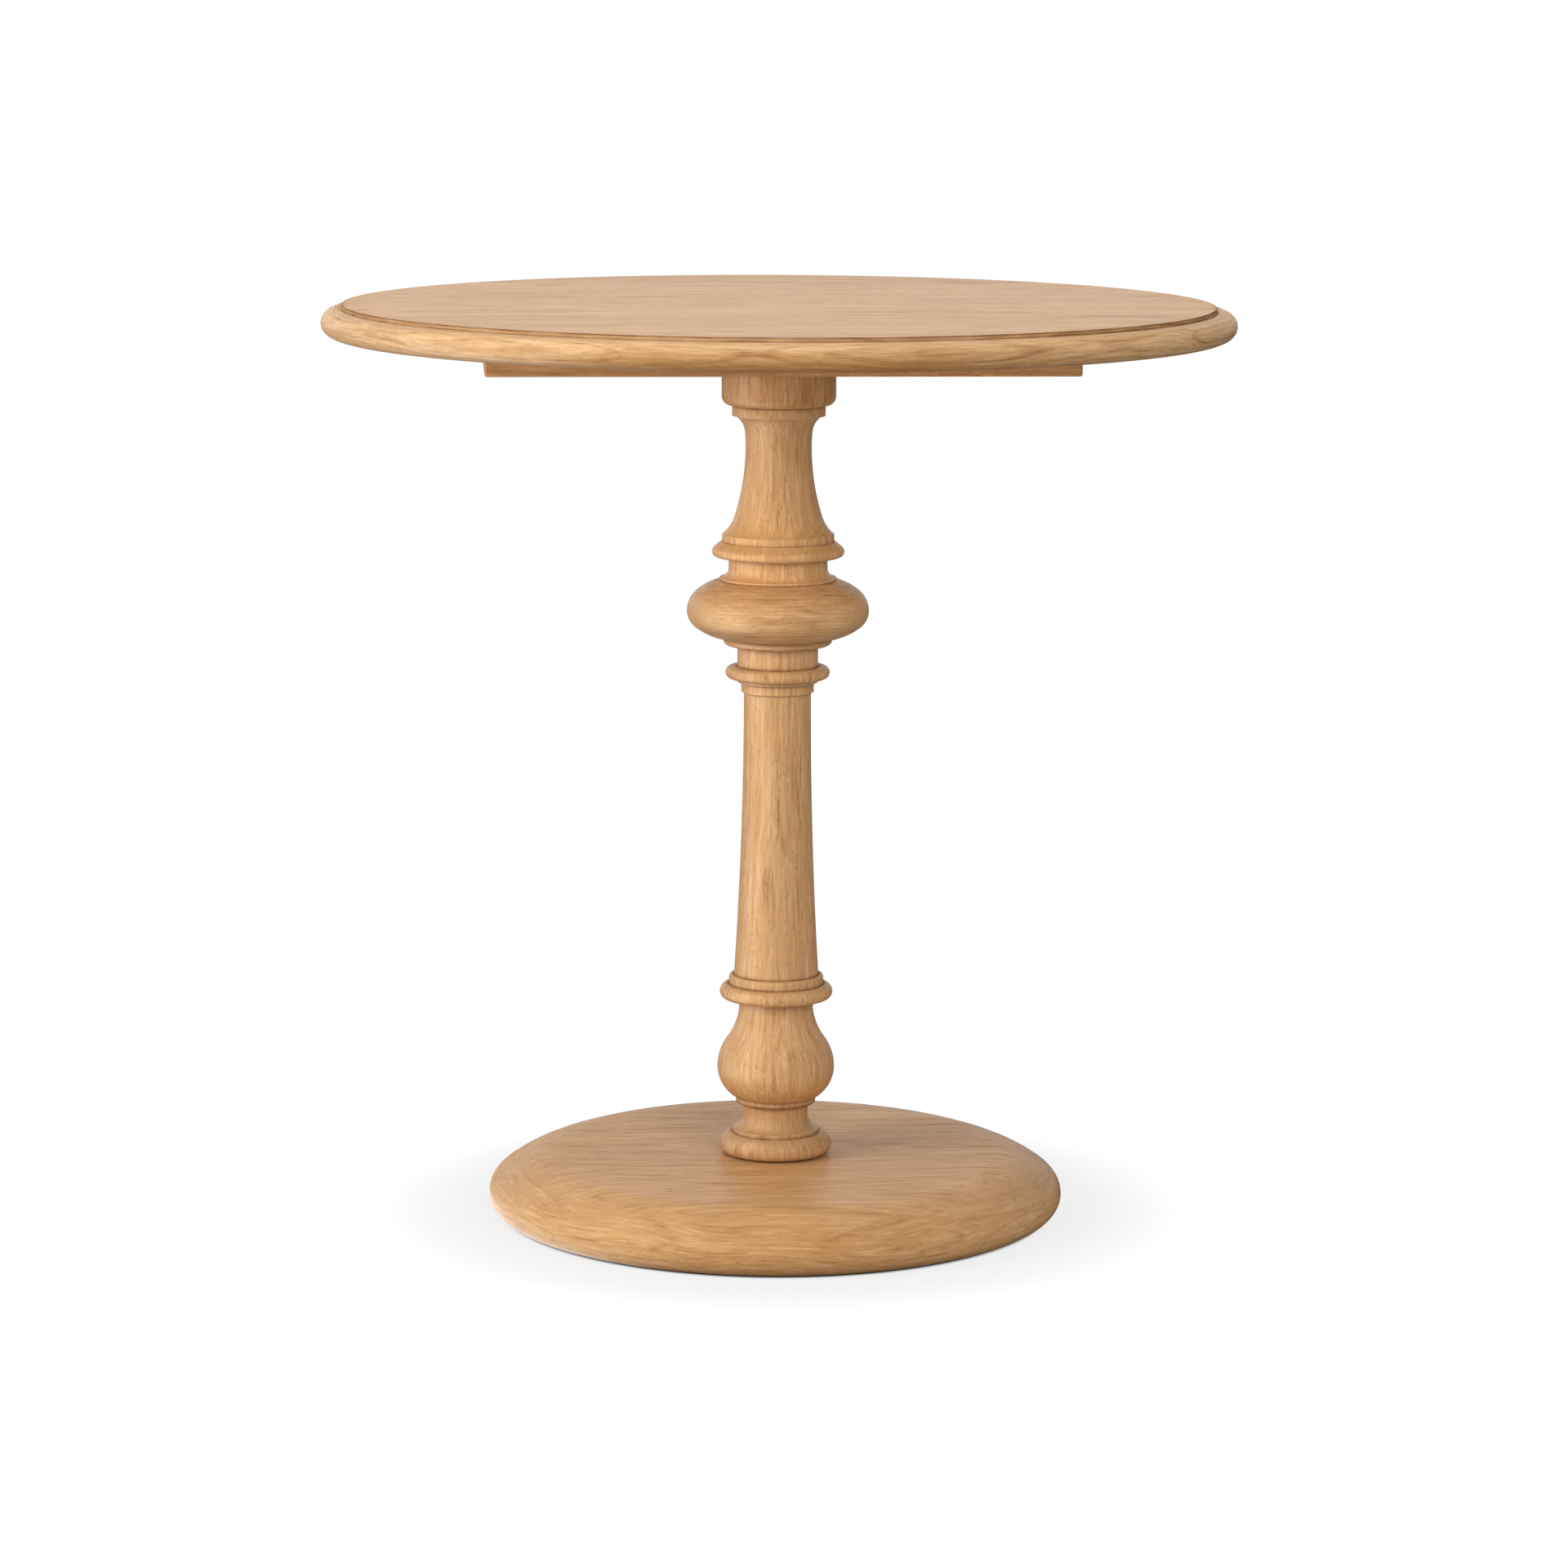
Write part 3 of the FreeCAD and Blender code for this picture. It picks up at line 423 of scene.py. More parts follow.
# %% Round the lathe group
def build_round_the_lathe():
    tree, given, gives = new_group(
        "Round the lathe",
        [("Place", "Vector"), ("Radius", "Float"), ("Solid Share", "Float")],
        [("Place", "Vector")],
    )
    level = scaled(tree, given["Place"], (1, 1, 0))
    reach = vector_node(tree, "LENGTH", level)["Value"]
    outward = vector_node(tree, "NORMALIZE", level)[0]
    spare = math_node(tree, "SUBTRACT", reach, given["Radius"])
    drawn_in = math_node(tree, "MULTIPLY_ADD", spare, given["Solid Share"], given["Radius"])
    ring = add(tree, "VectorMath", {0: outward, "Scale": drawn_in}, operation="SCALE").outputs[0]
    upright = scaled(tree, given["Place"], (0, 0, 1))
    tree.links.new(vector_node(tree, "ADD", ring, upright)[0], gives["Place"])
    return tree


round_the_lathe = build_round_the_lathe()
print("Round the lathe nodes:", len(round_the_lathe.nodes))

# %% [markdown]
# ### Grain along a rim
# The rims of the top and the base show figure that runs along the rim, as on a lipping bent round the edge.
# This group unrolls a place near the rim: Z is the way round, measured along a circle from the front, X the
# distance from the axis and Y the height. It also gives a share, 1 on the rim and 0 inside it. The unrolled
# wood has one join, at the back, and there the share goes to 0, because the straight grain of the boards runs
# along the rim there anyway. A third value is painted shade: it darkens the lower part of the rim, most of it
# in front, where less light falls.

# %% Along the rim group
def build_along_the_rim():
    tree, given, gives = new_group(
        "Along the rim",
        [("Place", "Vector"), ("Inner", "Float"), ("Outer", "Float"), ("Lower", "Float"), ("Upper", "Float")],
        [("Place", "Vector"), ("Share", "Float"), ("Painted Rim Shade", "Float")],
    )
    x, y, z = add(tree, "SeparateXYZ", {0: given["Place"]}).outputs
    level = scaled(tree, given["Place"], (1, 1, 0))
    reach = vector_node(tree, "LENGTH", level)["Value"]
    angle = math_node(tree, "ARCTAN2", x, math_node(tree, "MULTIPLY", y, -1.0))
    along = math_node(tree, "MULTIPLY", angle, given["Outer"])
    tree.links.new(add(tree, "CombineXYZ", {0: reach, 1: z, 2: along}).outputs[0], gives["Place"])
    ragged = noise(tree, scaled(tree, given["Place"], (45, 140, 45)), 2.0).outputs["Fac"]
    moved = math_node(tree, "MULTIPLY_ADD", tone_of(tree, ragged, 0.5, 0.6),
                      math_node(tree, "SUBTRACT", given["Outer"], given["Inner"]), reach)
    on_rim = between(tree, moved, given["Inner"], given["Outer"])
    off_join = between(tree, math_node(tree, "DIVIDE", y, reach), 0.86, 0.98, 1.0, 0.0)
    tree.links.new(math_node(tree, "MULTIPLY", on_rim, off_join), gives["Share"])
    # Painted shade: darker towards the bottom of the rim, most of it in front.
    from_front = math_node(tree, "SUBTRACT", angle, 0.2)
    aside = math_node(tree, "ABSOLUTE", math_node(tree, "MULTIPLY_ADD", ragged, 0.4, from_front))
    low = between(tree, z, given["Lower"], given["Upper"], 1.0, 0.0)
    in_front = between(tree, aside, 0.1, 0.8, 1.0, 0.1)
    tree.links.new(math_node(tree, "MULTIPLY", low, in_front), gives["Painted Rim Shade"])
    return tree


along_the_rim = build_along_the_rim()
print("Along the rim nodes:", len(along_the_rim.nodes))

# %% [markdown]
# ### Finish and painted shade
# Sanding thins the stain on arrises. In quirks and at the seats between sections the colour is darkened as
# painted shade, where shadow falls, along with finish that gathers there and dulls it. The lathe stored where
# those are, so this group lightens the one, and darkens and dulls the other, broken up with noise so that no
# line is perfectly even.

# %% Finish and shade group
DUSTY = 0.95
QUIRK_SHADE_STAIN, BARE_OAK, BARE_SHARE = (0.25, 0.16, 0.10, 1), (0.86, 0.66, 0.44, 1), 0.35


def build_finish_and_shade():
    tree, given, gives = new_group(
        "Finish and shade",
        [("Color", "Color"), ("Wear and Shade", "Float"), ("Place", "Vector"), ("Roughness", "Float")],
        [("Color", "Color"), ("Roughness", "Float")],
    )
    patch = noise(tree, scaled(tree, given["Place"], (60, 60, 60)), 3.0).outputs["Fac"]
    uneven = between(tree, patch, 0.3, 0.7, 0.75, 1.0)
    # Painted shade in quirks and at seats, with some gathered finish: darker and duller.
    shade_and_gathered_finish = math_node(tree, "MULTIPLY", between(tree, given["Wear and Shade"], 0.0, -0.75), uneven)
    rubbed = math_node(tree, "MULTIPLY", between(tree, given["Wear and Shade"], 0.1, 0.9), uneven)
    dark = mix(tree, 1.0, given["Color"], QUIRK_SHADE_STAIN, "MULTIPLY")
    pale = mix(tree, BARE_SHARE, given["Color"], BARE_OAK)
    colour = mix(tree, shade_and_gathered_finish, given["Color"], dark)
    tree.links.new(mix(tree, rubbed, colour, pale), gives["Color"])
    tree.links.new(ranged(tree, shade_and_gathered_finish, given["Roughness"], DUSTY), gives["Roughness"])
    return tree


finish_and_shade = build_finish_and_shade()
print("Finish and shade nodes:", len(finish_and_shade.nodes))

# %% [markdown]
# ### Oak materials
# Every board and every turned section comes from its own plank, so each gets its own material: the same
# groups with its own heart line, ring width and offset. Boards run along X and column sections along Z, but
# the knop is turned from a blank laid on its side, as its level streaks show. The finish is an oil: no coat,
# only the wood's own sheen. A plank's values are kept in one dictionary, so a material only says where it
# differs.

# %% Oak material maker
GRAIN_TURN = {"X": (0.0, -math.pi / 2, 0.0), "Z": (0.0, 0.0, 0.0)}
GRAIN_WAY = {"X": (1, 0, 0), "Z": (0, 0, 1)}
PALE_OAK = (0.725, 0.446, 0.220)
HONEY_OAK = (0.592, 0.328, 0.135)
BROWN_OAK = (0.365, 0.170, 0.060)
PORE_BROWN = (0.160, 0.066, 0.024)
WARM_GLOSS = (1.0, 0.97, 0.92, 1)
OIL_IOR, SOLID_SHARE = 1.55, 0.2
BUMP_STRENGTH, BUMP_HEIGHT = 0.5, 0.0004
PLANK = {
    "ring_width": 3.0, "ring_contrast": 0.2, "waviness": 0.012, "spread": (1, 1, 1),
    "streaks": 1.25, "curls": 0.5, "pores": 0.6, "tint": (1, 1, 1), "gloss": 0.5,
}


def shade(colour, tint):
    return tuple(channel * share for channel, share in zip(colour, tint)) + (1,)


def figured(tree, place, end_grain, heart, changes):
    """The oak figure of one plank at a place in wood space. The heart is two places across the grain."""
    plank = {**PLANK, **changes}
    return use_group(tree, oak_figure, {
        "Place": place, "Heart": (*heart, 0.0), "Ring Width": plank["ring_width"] * MM,
        "Ring Contrast": plank["ring_contrast"], "Waviness": plank["waviness"], "Spread": plank["spread"],
        "Streak Contrast": plank["streaks"], "Curl Depth": plank["curls"], "Pore Depth": plank["pores"],
        "End Grain": end_grain,
        "Pale": shade(PALE_OAK, plank["tint"]), "Honey": shade(HONEY_OAK, plank["tint"]),
        "Brown": shade(BROWN_OAK, plank["tint"]), "Pore": (*PORE_BROWN, 1),
    })


def end_share(tree, grain):
    """How squarely the surface cuts the grain: 0 along it, 1 across it."""
    normal = add(tree, "NewGeometry", {}).outputs["Normal"]
    facing = vector_node(tree, "DOT_PRODUCT", normal, GRAIN_WAY[grain])["Value"]
    return math_node(tree, "MULTIPLY", facing, facing)


def oak(name, grain, heart, shift, follow=None, rim=None, **changes):
    """An oiled oak finish. Its figure can follow a turned radius, or give way to a rim's own figure."""
    material = bpy.data.materials.new(name)
    material.use_nodes = True
    tree = material.node_tree
    shader = tree.nodes["Principled BSDF"]
    place = add(tree, "TexCoord", {}).outputs["Object"]
    around = place
    if follow:
        sizes = {"Radius": follow * MM, "Solid Share": SOLID_SHARE}
        around = use_group(tree, round_the_lathe, {"Place": place, **sizes})["Place"]
    turned = add(tree, "Mapping", {"Vector": around, "Rotation": GRAIN_TURN[grain], "Location": (0, 0, shift)})
    wood = turned.outputs[0]
    figure = figured(tree, wood, end_share(tree, grain), heart, changes)
    colour, rough, height = figure["Color"], figure["Roughness"], figure["Height"]
    if rim:
        sizes = {name: rim[name.lower()] * MM for name in ("Inner", "Outer", "Lower", "Upper")}
        unrolled = use_group(tree, along_the_rim, {"Place": place, **sizes})
        lipping = figured(tree, unrolled["Place"], 0.0, rim["heart"], rim["plank"])
        # Painted shade on the rim's lower front, darkening its colour and dulling it.
        painted_rim_shade = mix(tree, 1.0, lipping["Color"], rim["painted_rim_shade"], "MULTIPLY")
        shaded_lipping = mix(tree, unrolled["Painted Rim Shade"], lipping["Color"], painted_rim_shade)
        colour = mix(tree, unrolled["Share"], colour, shaded_lipping)
        rough = blended(tree, unrolled["Share"], rough, lipping["Roughness"])
        height = blended(tree, unrolled["Share"], height, lipping["Height"])
        rough = ranged(tree, unrolled["Painted Rim Shade"], rough, DUSTY)
    wear_and_shade = add(tree, "Attribute", {}, attribute_name="wear_and_shade").outputs["Fac"]
    finished = use_group(tree, finish_and_shade, {"Color": colour, "Wear and Shade": wear_and_shade, "Place": wood, "Roughness": rough})
    tree.links.new(finished["Color"], shader.inputs["Base Color"])
    tree.links.new(finished["Roughness"], shader.inputs["Roughness"])
    bump = add(tree, "Bump", {"Height": height, "Strength": BUMP_STRENGTH, "Distance": BUMP_HEIGHT})
    tree.links.new(bump.outputs[0], shader.inputs["Normal"])
    shader.inputs["IOR"].default_value = OIL_IOR
    shader.inputs["Specular IOR Level"].default_value = {**PLANK, **changes}["gloss"]
    shader.inputs["Specular Tint"].default_value = WARM_GLOSS
    return material


print("Oak material maker ready")

# %% [markdown]
# ## The column
# Six turned sections stand on one another: foot, bulb, shaft, knop, vase and collar. Each outline starts at
# the bore for the tie rod, runs out along the underside, up the outside and back along the top. Turned tenons
# reach into the neighbour, so each outline has its tenon or mortise too.

# %% Outlines of the column sections
BORE = 6.5
TENON, TENON_LENGTH = 15.0, 18.0
MORTISE, MORTISE_DEPTH = 15.1, 19.0


def low_tenon():
    return [(BORE, -TENON_LENGTH, "line"), (TENON, -TENON_LENGTH, "line"), (TENON, 0.0, "line")]


def low_mortise():
    return [(BORE, MORTISE_DEPTH, "line"), (MORTISE, MORTISE_DEPTH, "line"), (MORTISE, 0.0, "line")]


def high_tenon(top):
    return [(TENON, top, "line"), (TENON, top + TENON_LENGTH, "line"), (BORE, top + TENON_LENGTH, "line")]


def high_mortise(top):
    return [(MORTISE, top, "line"), (MORTISE, top - MORTISE_DEPTH, "line"), (BORE, top - MORTISE_DEPTH, "line")]


def on_round(radius, nose, height, angle):
    """The point where a round of radius `nose` is left at an angle above (+) or below (-) its widest place."""
    angle = math.radians(angle)
    return radius - nose + nose * math.cos(angle), height + nose * math.sin(angle)


FOOT = [
    (BORE, 0.0, "line"), (39.4, 0.0, "line"), (39.4, SEAT_GAP, "line"), (42.8, SEAT_GAP, "to plumb"),
    (47.0, 7.6, "plumb"), (39.6, 18.6, "line"), (36.2, 18.6, "line"), (36.2, 21.8, "line"),
    (35.6, 21.8, "to plumb"), (27.0, 33.0, "plumb"), (28.0, 44.0, "line"),
] + high_mortise(44.0)
BULB = low_tenon() + [
    (33.4, 0.0, "line"), (33.4, 5.2, "line"), (35.0, 5.2, "to plumb"), (49.1, 30.5, "plumb"),
    (41.2, 54.3, "smooth"), (31.0, 80.0, "line"), (31.0, 89.0, "line"),
] + high_mortise(89.0)
SHAFT = low_tenon() + [
    (42.0, 0.0, "to plumb"), (47.3, 5.6, "plumb"), (40.2, 12.6, "line"), (39.6, 12.6, "line"),
    (39.6, 17.8, "plumb"), (36.6, 20.6, "line"), (35.4, 20.6, "to plumb"), (27.9, 259.5, "line"),
    (30.2, 259.5, "line"), (30.2, 267.8, "line"), (33.6, 267.8, "line"), (33.6, 270.8, "line"),
    (38.4, 270.8, "to plumb"), (43.4, 275.9, "plumb"), (38.4, 281.0, "line"), (33.5, 281.0, "line"),
    (33.5, 298.7, "line"),
] + high_tenon(298.7)
KNOP = low_mortise() + [
    (41.5, 0.0, "to plumb"), (45.2, 4.5, "line"), (45.2, 6.2, "to smooth"),
    (*on_round(75.5, 16.0, 28.6, -50), "to plumb"), (75.5, 28.6, "plumb"),
    (*on_round(75.5, 21.5, 28.6, 50), "smooth"), (49.5, 54.3, "line"),
] + high_mortise(54.3)
VASE = low_tenon() + [
    (48.5, 0.0, "line"), (48.5, 2.2, "line"), (47.9, 2.2, "to plumb"), (41.0, 10.0, "line"),
    (41.0, 19.5, "line"), (50.9, 19.5, "to plumb"), (54.9, 23.9, "plumb"),
    (*on_round(54.9, 4.4, 23.9, 50), "smooth"), (47.2, 32.1, "line"), (46.4, 32.1, "line"),
    (46.4, 38.4, "line"), (45.8, 38.4, "to smooth"), (36.0, 53.6, "to plumb"), (27.3, 110.9, "plumb"),
    (27.9, 122.9, "smooth"), (36.2, 136.1, "line"), (38.6, 136.1, "line"), (38.6, 144.7, "line"),
] + high_tenon(144.7)
COLLAR = low_mortise() + [
    (39.7, 0.0, "to plumb"), (47.2, 7.5, "line"), (47.2, 29.0, "line"), (BORE, 29.0, "line"),
]
print("Sections outlined:", len((FOOT, BULB, SHAFT, KNOP, VASE, COLLAR)))

# %% Turn the column sections
COLUMN_SPOKES = 144
SECTIONS = (
    ("foot", FOOT, 48.0, "Z", (0.030, 0.060), 0.31, {"follow": 40, "tint": (0.84, 0.83, 0.82)}),
    ("bulb", BULB, 92.0, "Z", (-0.035, 0.070), 1.73, {"follow": 45}),
    ("shaft", SHAFT, 181.0, "Z", (0.028, 0.085), 2.9, {"follow": 32}),
    ("knop", KNOP, 479.7, "X", (-1.60, 0.05), 4.2, {"spread": (1, 0.2, 1), "waviness": 0.010, "curls": 0.15}),
    # The vase is tinted lighter to offset the top's shadow on it: painted light.
    ("vase", VASE, 534.0, "Z", (-0.045, 0.060), 5.6, {"follow": 34, "tint": (1.12, 1.12, 1.10)}),
    ("collar", COLLAR, 678.7, "Z", (0.050, 0.080), 7.1,
     {"follow": 45, "streaks": 1.8, "tint": (1.04, 0.96, 0.82)}),
)
for section, outline, low, grain, heart, shift, changes in SECTIONS:
    node = "column_" + section
    wood = oak("oak_" + section, grain, heart, shift, **changes)
    mesh = lathe(node + "_turned", outline, low, COLUMN_SPOKES)
    stand(node + "_turned", mesh, node, wood)
    print(node, len(mesh.vertices), "points")

# %% [markdown]
# ## The round top and the base
# Both are glued up from boards that run along X and are then turned or routed round. So each disc is spun
# once and sawn along its glue lines with bmesh's bisect, which keeps the rim's curve exact in every board.

# %% Saw a disc into boards
def saw(name, disc, lowest, highest):
    """The part of a disc between two planes across Y, closed where it was cut."""
    bm = bmesh.new()
    bm.from_mesh(disc)
    for place, side in ((lowest, -1), (highest, 1)):
        if place is None:
            continue
        geometry = bm.verts[:] + bm.edges[:] + bm.faces[:]
        result = bmesh.ops.bisect_plane(
            bm, geom=geometry, dist=SLIVER, plane_co=(0, place * MM, 0), plane_no=(0, side, 0), clear_outer=True
        )
        rim = [item for item in result["geom_cut"] if isinstance(item, bmesh.types.BMEdge)]
        bmesh.ops.holes_fill(bm, edges=rim, sides=0)
    mesh = bpy.data.meshes.new(name)
    bm.to_mesh(mesh)
    bm.free()
    clean(mesh)
    return mesh


def glue_lines(radius, count):
    """The planes between the boards of a disc, with None at its outer edges."""
    return [None] + [radius * (2 * index / count - 1) for index in range(1, count)] + [None]


def oval_round(run, drop, side):
    """Where the two arcs of a quarter oval meet: out from its level end and up from its plumb end."""
    crown = (run ** 2 + drop ** 2 - 2 * run * side) / (2 * (drop - side))
    return (run - side) * crown / (crown - side), (crown - drop) * side / (crown - side)


print("Saw ready")

# %% Round top
TOP_LOW, TOP_RADIUS, TOP_THICKNESS = 736.0, 375.0, 26.0
RIM_NOSE, RIM_HEIGHT, RIM_SIDE = 13.3, 22.5, 10.5
FIELD_RADIUS = 358.0
out, up = oval_round(RIM_NOSE, RIM_HEIGHT / 2, RIM_SIDE)
shoulder = TOP_RADIUS - RIM_NOSE
TOP = [
    (0.0, 0.0, "line"), (shoulder, 0.0, "level"), (shoulder + out, RIM_HEIGHT / 2 - up, "to plumb"),
    (TOP_RADIUS, RIM_HEIGHT / 2, "plumb"), (shoulder + out, RIM_HEIGHT / 2 + up, "to level"),
    (shoulder, RIM_HEIGHT, "line"), (FIELD_RADIUS, RIM_HEIGHT, "line"), (FIELD_RADIUS, TOP_THICKNESS, "line"),
    (0.0, TOP_THICKNESS, "line"),
]
DISC_SPOKES = 288
top_disc = lathe("top_disc", TOP, TOP_LOW, DISC_SPOKES, arris=0.7, longest=40.0, quirk=0.7)
TOP_PLANK = {
    "ring_width": 6.0, "ring_contrast": 0.34, "waviness": 0.020, "spread": (0.7, 0.8, 0.5),
    "streaks": 1.4, "curls": 0.2,
}
TOP_RIM = {
    "inner": FIELD_RADIUS - 2.5, "outer": FIELD_RADIUS - 0.5, "heart": (0.325, 0.735),
    # Lower and Upper bound the rim's painted shade, and this colour darkens it.
    "lower": TOP_LOW + 6.0, "upper": TOP_LOW + RIM_HEIGHT, "painted_rim_shade": (0.68, 0.56, 0.38, 1),
    "plank": {
        "ring_width": 3.0, "ring_contrast": 0.42, "waviness": 0.022, "streaks": 1.2, "curls": 0.2, "pores": 0.3,
        "tint": (0.94, 0.98, 1.03),
    },
}
TOP_HEARTS = (
    (-0.10, -0.02, 1.00), (-0.07, 0.04, 0.95), (-0.12, -0.03, 1.03), (-0.08, 0.02, 0.97), (-0.11, 0.05, 1.02),
    (-0.09, -0.04, 0.96),
)
lines = glue_lines(TOP_RADIUS, len(TOP_HEARTS))
for index, (depth, aside, tone) in enumerate(TOP_HEARTS):
    middle = TOP_RADIUS * MM * (2 * (index + 0.5) / len(TOP_HEARTS) - 1)
    heart = (-(TOP_LOW + TOP_THICKNESS) * MM - depth, middle + aside)
    wood = oak(f"oak_top_{index + 1}", "X", heart, 10 + 1.7 * index, rim=TOP_RIM,
               tint=(tone, tone, tone), **TOP_PLANK)
    mesh = saw(f"top_board_{index + 1}_shaped", top_disc, lines[index], lines[index + 1])
    stand(f"top_board_{index + 1}_shaped", mesh, f"top_board_{index + 1}", wood)
    print("top board", index + 1, len(mesh.vertices), "points")
bpy.data.meshes.remove(top_disc)

# %% Round base, with recesses for the glides
BASE_LOW, BASE_RADIUS, BASE_THICKNESS = 2.0, 241.0, 46.0
ROUND_RUN, ROUND_DROP, ROUND_SIDE, LOWER_RUN = 60.0, 32.0, 18.0, 10.0
WELL_RADIUS, WELL_DEPTH = 20.0, 17.0
out, up = oval_round(ROUND_RUN, ROUND_DROP, ROUND_SIDE)
flat = BASE_RADIUS - ROUND_RUN
side_top = BASE_THICKNESS - ROUND_DROP
BASE = [
    (BORE, WELL_DEPTH, "line"), (WELL_RADIUS, WELL_DEPTH, "line"), (WELL_RADIUS, 0.0, "line"),
    (BASE_RADIUS - LOWER_RUN, 0.0, "to plumb"), (BASE_RADIUS, side_top, "plumb"),
    (flat + out, side_top + up, "to level"), (flat, BASE_THICKNESS, "line"), (BORE, BASE_THICKNESS, "line"),
]
base_disc = lathe("base_disc", BASE, BASE_LOW, DISC_SPOKES, arris=2.0, longest=30.0)
GLIDES, GLIDE_CIRCLE, FIRST_GLIDE = 6, 185.0, 30.0
RECESS_RADIUS, RECESS_DEPTH, STEM_HOLE, STEM_HOLE_TOP = 17.0, 5.0, 6.6, 29.5
CUTTER_SPOKES, CUT_BELOW = 48, 5.0
DRILLS = ((RECESS_RADIUS, -CUT_BELOW, BASE_LOW + RECESS_DEPTH + CUT_BELOW), (STEM_HOLE, 0.0, STEM_HOLE_TOP))
cutters = []
for index in range(GLIDES):
    angle = math.radians(FIRST_GLIDE + 360 / GLIDES * index)
    x, y = GLIDE_CIRCLE * math.cos(angle), GLIDE_CIRCLE * math.sin(angle)
    for radius, bottom, height in DRILLS:
        bit = [(0.0, 0.0, "line"), (radius, 0.0, "line"), (radius, height, "line"), (0.0, height, "line")]
        tool = lathe("cutter", bit, bottom, CUTTER_SPOKES, arris=0.01)
        tool.transform(Matrix.Translation((x * MM, y * MM, 0)))
        cutter = bpy.data.objects.new("cutter", tool)
        bpy.context.scene.collection.objects.link(cutter)
        cutters.append(cutter)
BASE_PLANK = {
    "ring_width": 7.0, "ring_contrast": 0.2, "waviness": 0.024, "spread": (0.5, 0.8, 0.6), "streaks": 1.35,
    "gloss": 0.32,
}
BASE_RIM = {
    "inner": 196.0, "outer": 232.0, "heart": (0.190, -0.010),
    # Lower and Upper bound the base rim's painted shade, and this colour darkens it.
    "lower": BASE_LOW + 20.0, "upper": BASE_LOW + BASE_THICKNESS, "painted_rim_shade": (0.82, 0.77, 0.70, 1),
    "plank": {
        "ring_width": 4.0, "ring_contrast": 0.22, "waviness": 0.030, "streaks": 1.1, "curls": 0.4, "pores": 0.3,
    },
}
BASE_HEARTS = (
    (-0.09, 0.03, 1.06), (-0.06, -0.03, 1.09), (-0.12, 0.02, 1.04), (-0.075, 0.035, 1.08), (-0.10, -0.02, 1.05),
)
lines = glue_lines(BASE_RADIUS, len(BASE_HEARTS))
for index, (depth, aside, tone) in enumerate(BASE_HEARTS):
    middle = BASE_RADIUS * MM * (2 * (index + 0.5) / len(BASE_HEARTS) - 1)
    heart = (-(BASE_LOW + BASE_THICKNESS) * MM - depth, middle + aside)
    wood = oak(f"oak_base_{index + 1}", "X", heart, 30 + 1.9 * index, rim=BASE_RIM,
               tint=(tone, tone * 0.98, tone * 0.93), **BASE_PLANK)
    name = f"base_board_{index + 1}_shaped"
    blank = bpy.data.objects.new(name, saw(name, base_disc, lines[index], lines[index + 1]))
    bpy.context.scene.collection.objects.link(blank)
    for cutter in cutters:
        hole = blank.modifiers.new("glide_hole", "BOOLEAN")
        hole.object = cutter
        hole.solver = "EXACT"
    shape = bpy.data.meshes.new_from_object(blank.evaluated_get(bpy.context.evaluated_depsgraph_get()))
    bpy.data.objects.remove(blank)
    shape.materials.clear()
    clean(shape)
    stand(name, shape, f"base_board_{index + 1}", wood)
    print("base board", index + 1, len(shape.vertices), "points")
for cutter in cutters:
    bpy.data.objects.remove(cutter)
bpy.data.meshes.remove(base_disc)

# %% [markdown]
# ## The bearer and the small parts
# The bearer's CAD shape is right as it is: a straight plank with eased lower edges and sunk screws. It only
# needs its oak. The steel, brass and nylon parts are seen from underneath, and get worn metal and moulded
# nylon.

# %% Bearer and dowels
def dress(node, material):
    """Gives a CAD node its finish."""
    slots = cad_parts[node].data.materials
    slots.clear()
    slots.append(material)


dress("top_bearer", oak("oak_bearer", "X", (-0.66, 0.06), 51.0, tint=(1.10, 0.99, 0.84)))
for node in ("collar_dowels", "foot_dowels"):
    dress(node, oak("dowel_" + node, "Z", (0.0, 0.2), 53.0, tint=(1.15, 1.15, 1.15)))
print("Bearer and dowels dressed")

# %% Metal and nylon
SPECKLE_HEIGHT = 0.0002


def build_worn_surface():
    """Fine speckle and slow clouding for small parts."""
    tree, given, gives = new_group(
        "Worn surface",
        [("Place", "Vector"), ("Grain Size", "Float"), ("Light", "Color"), ("Dark", "Color")],
        [("Color", "Color"), ("Mask", "Float"), ("Height", "Float")],
    )
    cloud = noise(tree, scaled(tree, given["Place"], (90, 90, 90)), 3.0).outputs["Fac"]
    fineness = math_node(tree, "DIVIDE", 1.0, given["Grain Size"])
    tight = add(tree, "VectorMath", {0: given["Place"], "Scale": fineness}, operation="SCALE").outputs[0]
    speckle = noise(tree, tight, 2.0).outputs["Fac"]
    mask = math_node(tree, "MULTIPLY_ADD", cloud, 0.6, math_node(tree, "MULTIPLY", speckle, 0.4))
    tree.links.new(mix(tree, mask, given["Dark"], given["Light"]), gives["Color"])
    tree.links.new(mask, gives["Mask"])
    tree.links.new(speckle, gives["Height"])
    return tree


worn_surface = build_worn_surface()


def small_part(name, light, dark, metallic, roughness, grain_size, bump):
    """A worn metal or moulded nylon finish."""
    material = bpy.data.materials.new(name)
    material.use_nodes = True
    tree = material.node_tree
    shader = tree.nodes["Principled BSDF"]
    place = add(tree, "TexCoord", {}).outputs["Object"]
    looks = {"Grain Size": grain_size, "Light": light, "Dark": dark}
    worn = use_group(tree, worn_surface, {"Place": place, **looks})
    tree.links.new(worn["Color"], shader.inputs["Base Color"])
    rough = between(tree, worn["Mask"], 0.3, 0.7, roughness + 0.1, roughness - 0.06)
    tree.links.new(rough, shader.inputs["Roughness"])
    raised = add(tree, "Bump", {"Height": worn["Height"], "Strength": bump, "Distance": SPECKLE_HEIGHT})
    tree.links.new(raised.outputs[0], shader.inputs["Normal"])
    shader.inputs["Metallic"].default_value = metallic
    return material


